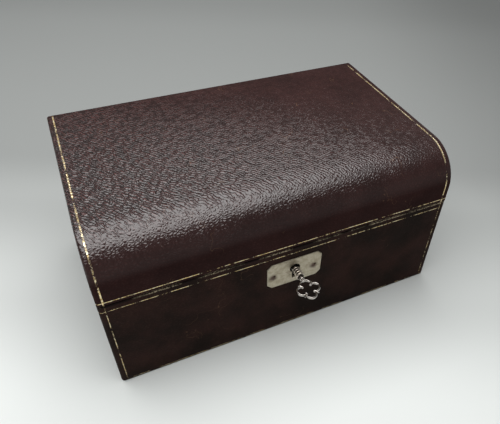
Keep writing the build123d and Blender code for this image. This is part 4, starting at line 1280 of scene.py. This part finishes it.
studio = {
    "cameraPlace": (-0.11869, -0.30326, 0.34273), "cameraTurn": (47.067, -2.52, -25.425), "lens": 36.35,
    "shift": (-0.0841, 0.0239),
    "lamps": {
        "sky": {"place": (-0.10, 0.07, 1.15), "size": (1.3, 1.36), "power": 22.0},
        "backSky": {"place": (-0.35, 1.20, 1.15), "size": (1.4, 0.85), "power": 1.05},
    },
    "air": (0.62, 0.64, 0.63), "airStrength": 0.125, "backdrop": (0.260, 0.268, 0.262), "horizon": (0.40, 0.05),
}
floorLook = {
    "forward": (0.429, 0.903),       # the way the camera looks, along the floor
    # the tones along the floor are painted light and shade
    "paintedLightTones": ((-0.155, 0.76), (-0.05, 0.59), (0.07, 0.405), (0.15, 0.318), (0.50, 0.305), (0.64, 0.285)),
    "tint": (0.968, 1.0, 0.978), "sideFrom": (0.12, 0.42), "sideShade": 0.22,
    "endFrom": (0.72, 1.5), "half": 30,
}


def seenRay(tree):
    # 1 for what the camera sees, also in metal; 0 for the light that falls on the box
    path = tree.nodes.new("ShaderNodeLightPath")
    return either(tree, *(path.outputs[name] for name in ("Is Camera Ray", "Is Glossy Ray", "Is Transmission Ray")))


def mixShaders(tree, share, a, b, output):
    mix = tree.nodes.new("ShaderNodeMixShader")
    for socket, value in zip(mix.inputs, (share, a, b)):
        tree.links.new(value, socket)
    tree.links.new(mix.outputs["Shader"], tree.nodes[output].inputs["Surface"])


def floorMaterial():
    # a paper sweep whose colour holds painted light and shade: lightest by the camera and darker behind and to the
    # right
    look = floorLook
    material, tree, shader, point = newMaterial("paleFloor")
    x, y, z = axes(tree, point)
    wayX, wayY = look["forward"]
    forward = scaled(tree, x, wayX, both(tree, y, wayY))
    across = scaled(tree, x, wayY, both(tree, y, -wayX))
    low, high = look["paintedLightTones"][0][0], look["paintedLightTones"][-1][0]
    ramp = tree.nodes.new("ShaderNodeValToRGB")
    ramp.color_ramp.interpolation = 'EASE'
    stops = ramp.color_ramp.elements
    for k, (place, tone) in enumerate(look["paintedLightTones"]):
        spot = (place - low) / (high - low)
        stop = stops[k] if k in (0, 1) else stops.new(spot)
        stop.position = spot
        stop.color = (*(tone * part for part in look["tint"]), 1)
    tree.links.new(calc(tree, 'DIVIDE', calc(tree, 'SUBTRACT', forward, low), high - low), ramp.inputs["Fac"])
    # painted shade towards the right
    shade = both(tree, fade(tree, across, *look["sideFrom"]), look["sideShade"])
    colour = blendColour(tree, shade, ramp.outputs["Color"], (0.0, 0.0, 0.0))
    setValues(tree, shader, colour=colour, rough=0.9, spec=0.05)
    # far off, the paper turns into the backdrop
    glow = tree.nodes.new("ShaderNodeEmission")
    glow.inputs["Color"].default_value = (*studio["backdrop"], 1)
    end = both(tree, fade(tree, distance(tree, x, y), *look["endFrom"]), seenRay(tree))
    mixShaders(tree, end, shader.outputs["BSDF"], glow.outputs["Emission"], "Material Output")
    return material


def makeStudio():
    look = studio
    scene = bpy.context.scene
    scene.view_settings.view_transform = 'Standard'
    camera = bpy.data.cameras.new("camera")
    camera.lens, camera.sensor_width = look["lens"], 36
    camera.shift_x, camera.shift_y = look["shift"]
    camera.clip_start = 0.01
    eye = bpy.data.objects.new("camera", camera)
    eye.location = look["cameraPlace"]
    eye.rotation_euler = [math.radians(angle) for angle in look["cameraTurn"]]
    scene.collection.objects.link(eye)
    scene.camera = eye

    for name, values in look["lamps"].items():
        light = bpy.data.lights.new(name, 'AREA')
        light.shape = 'RECTANGLE'
        light.size, light.size_y = values["size"]
        light.energy = values["power"]
        lamp = bpy.data.objects.new(name, light)
        lamp.location = values["place"]
        scene.collection.objects.link(lamp)

    bm = bmesh.new()
    bmesh.ops.create_grid(bm, x_segments=4, y_segments=4, size=floorLook["half"])
    mesh = bpy.data.meshes.new("floor")
    bm.to_mesh(mesh)
    bm.free()
    floor = bpy.data.objects.new("floor", mesh)
    scene.collection.objects.link(floor)
    mesh.materials.append(floorMaterial())

    world = bpy.data.worlds.new("air")
    scene.world = world
    world.use_nodes = True
    tree = world.node_tree
    air = tree.nodes["Background"]
    air.inputs["Color"].default_value = (*look["air"], 1)
    air.inputs["Strength"].default_value = look["airStrength"]
    backdrop = tree.nodes.new("ShaderNodeBackground")
    backdrop.inputs["Color"].default_value = (*look["backdrop"], 1)
    height = axes(tree, tree.nodes.new("ShaderNodeTexCoord").outputs["Generated"])[2]
    seen = both(tree, seenRay(tree), fade(tree, height, *look["horizon"]))
    mixShaders(tree, seen, air.outputs["Background"], backdrop.outputs["Background"], "World Output")


makeStudio()
print("studio lit")
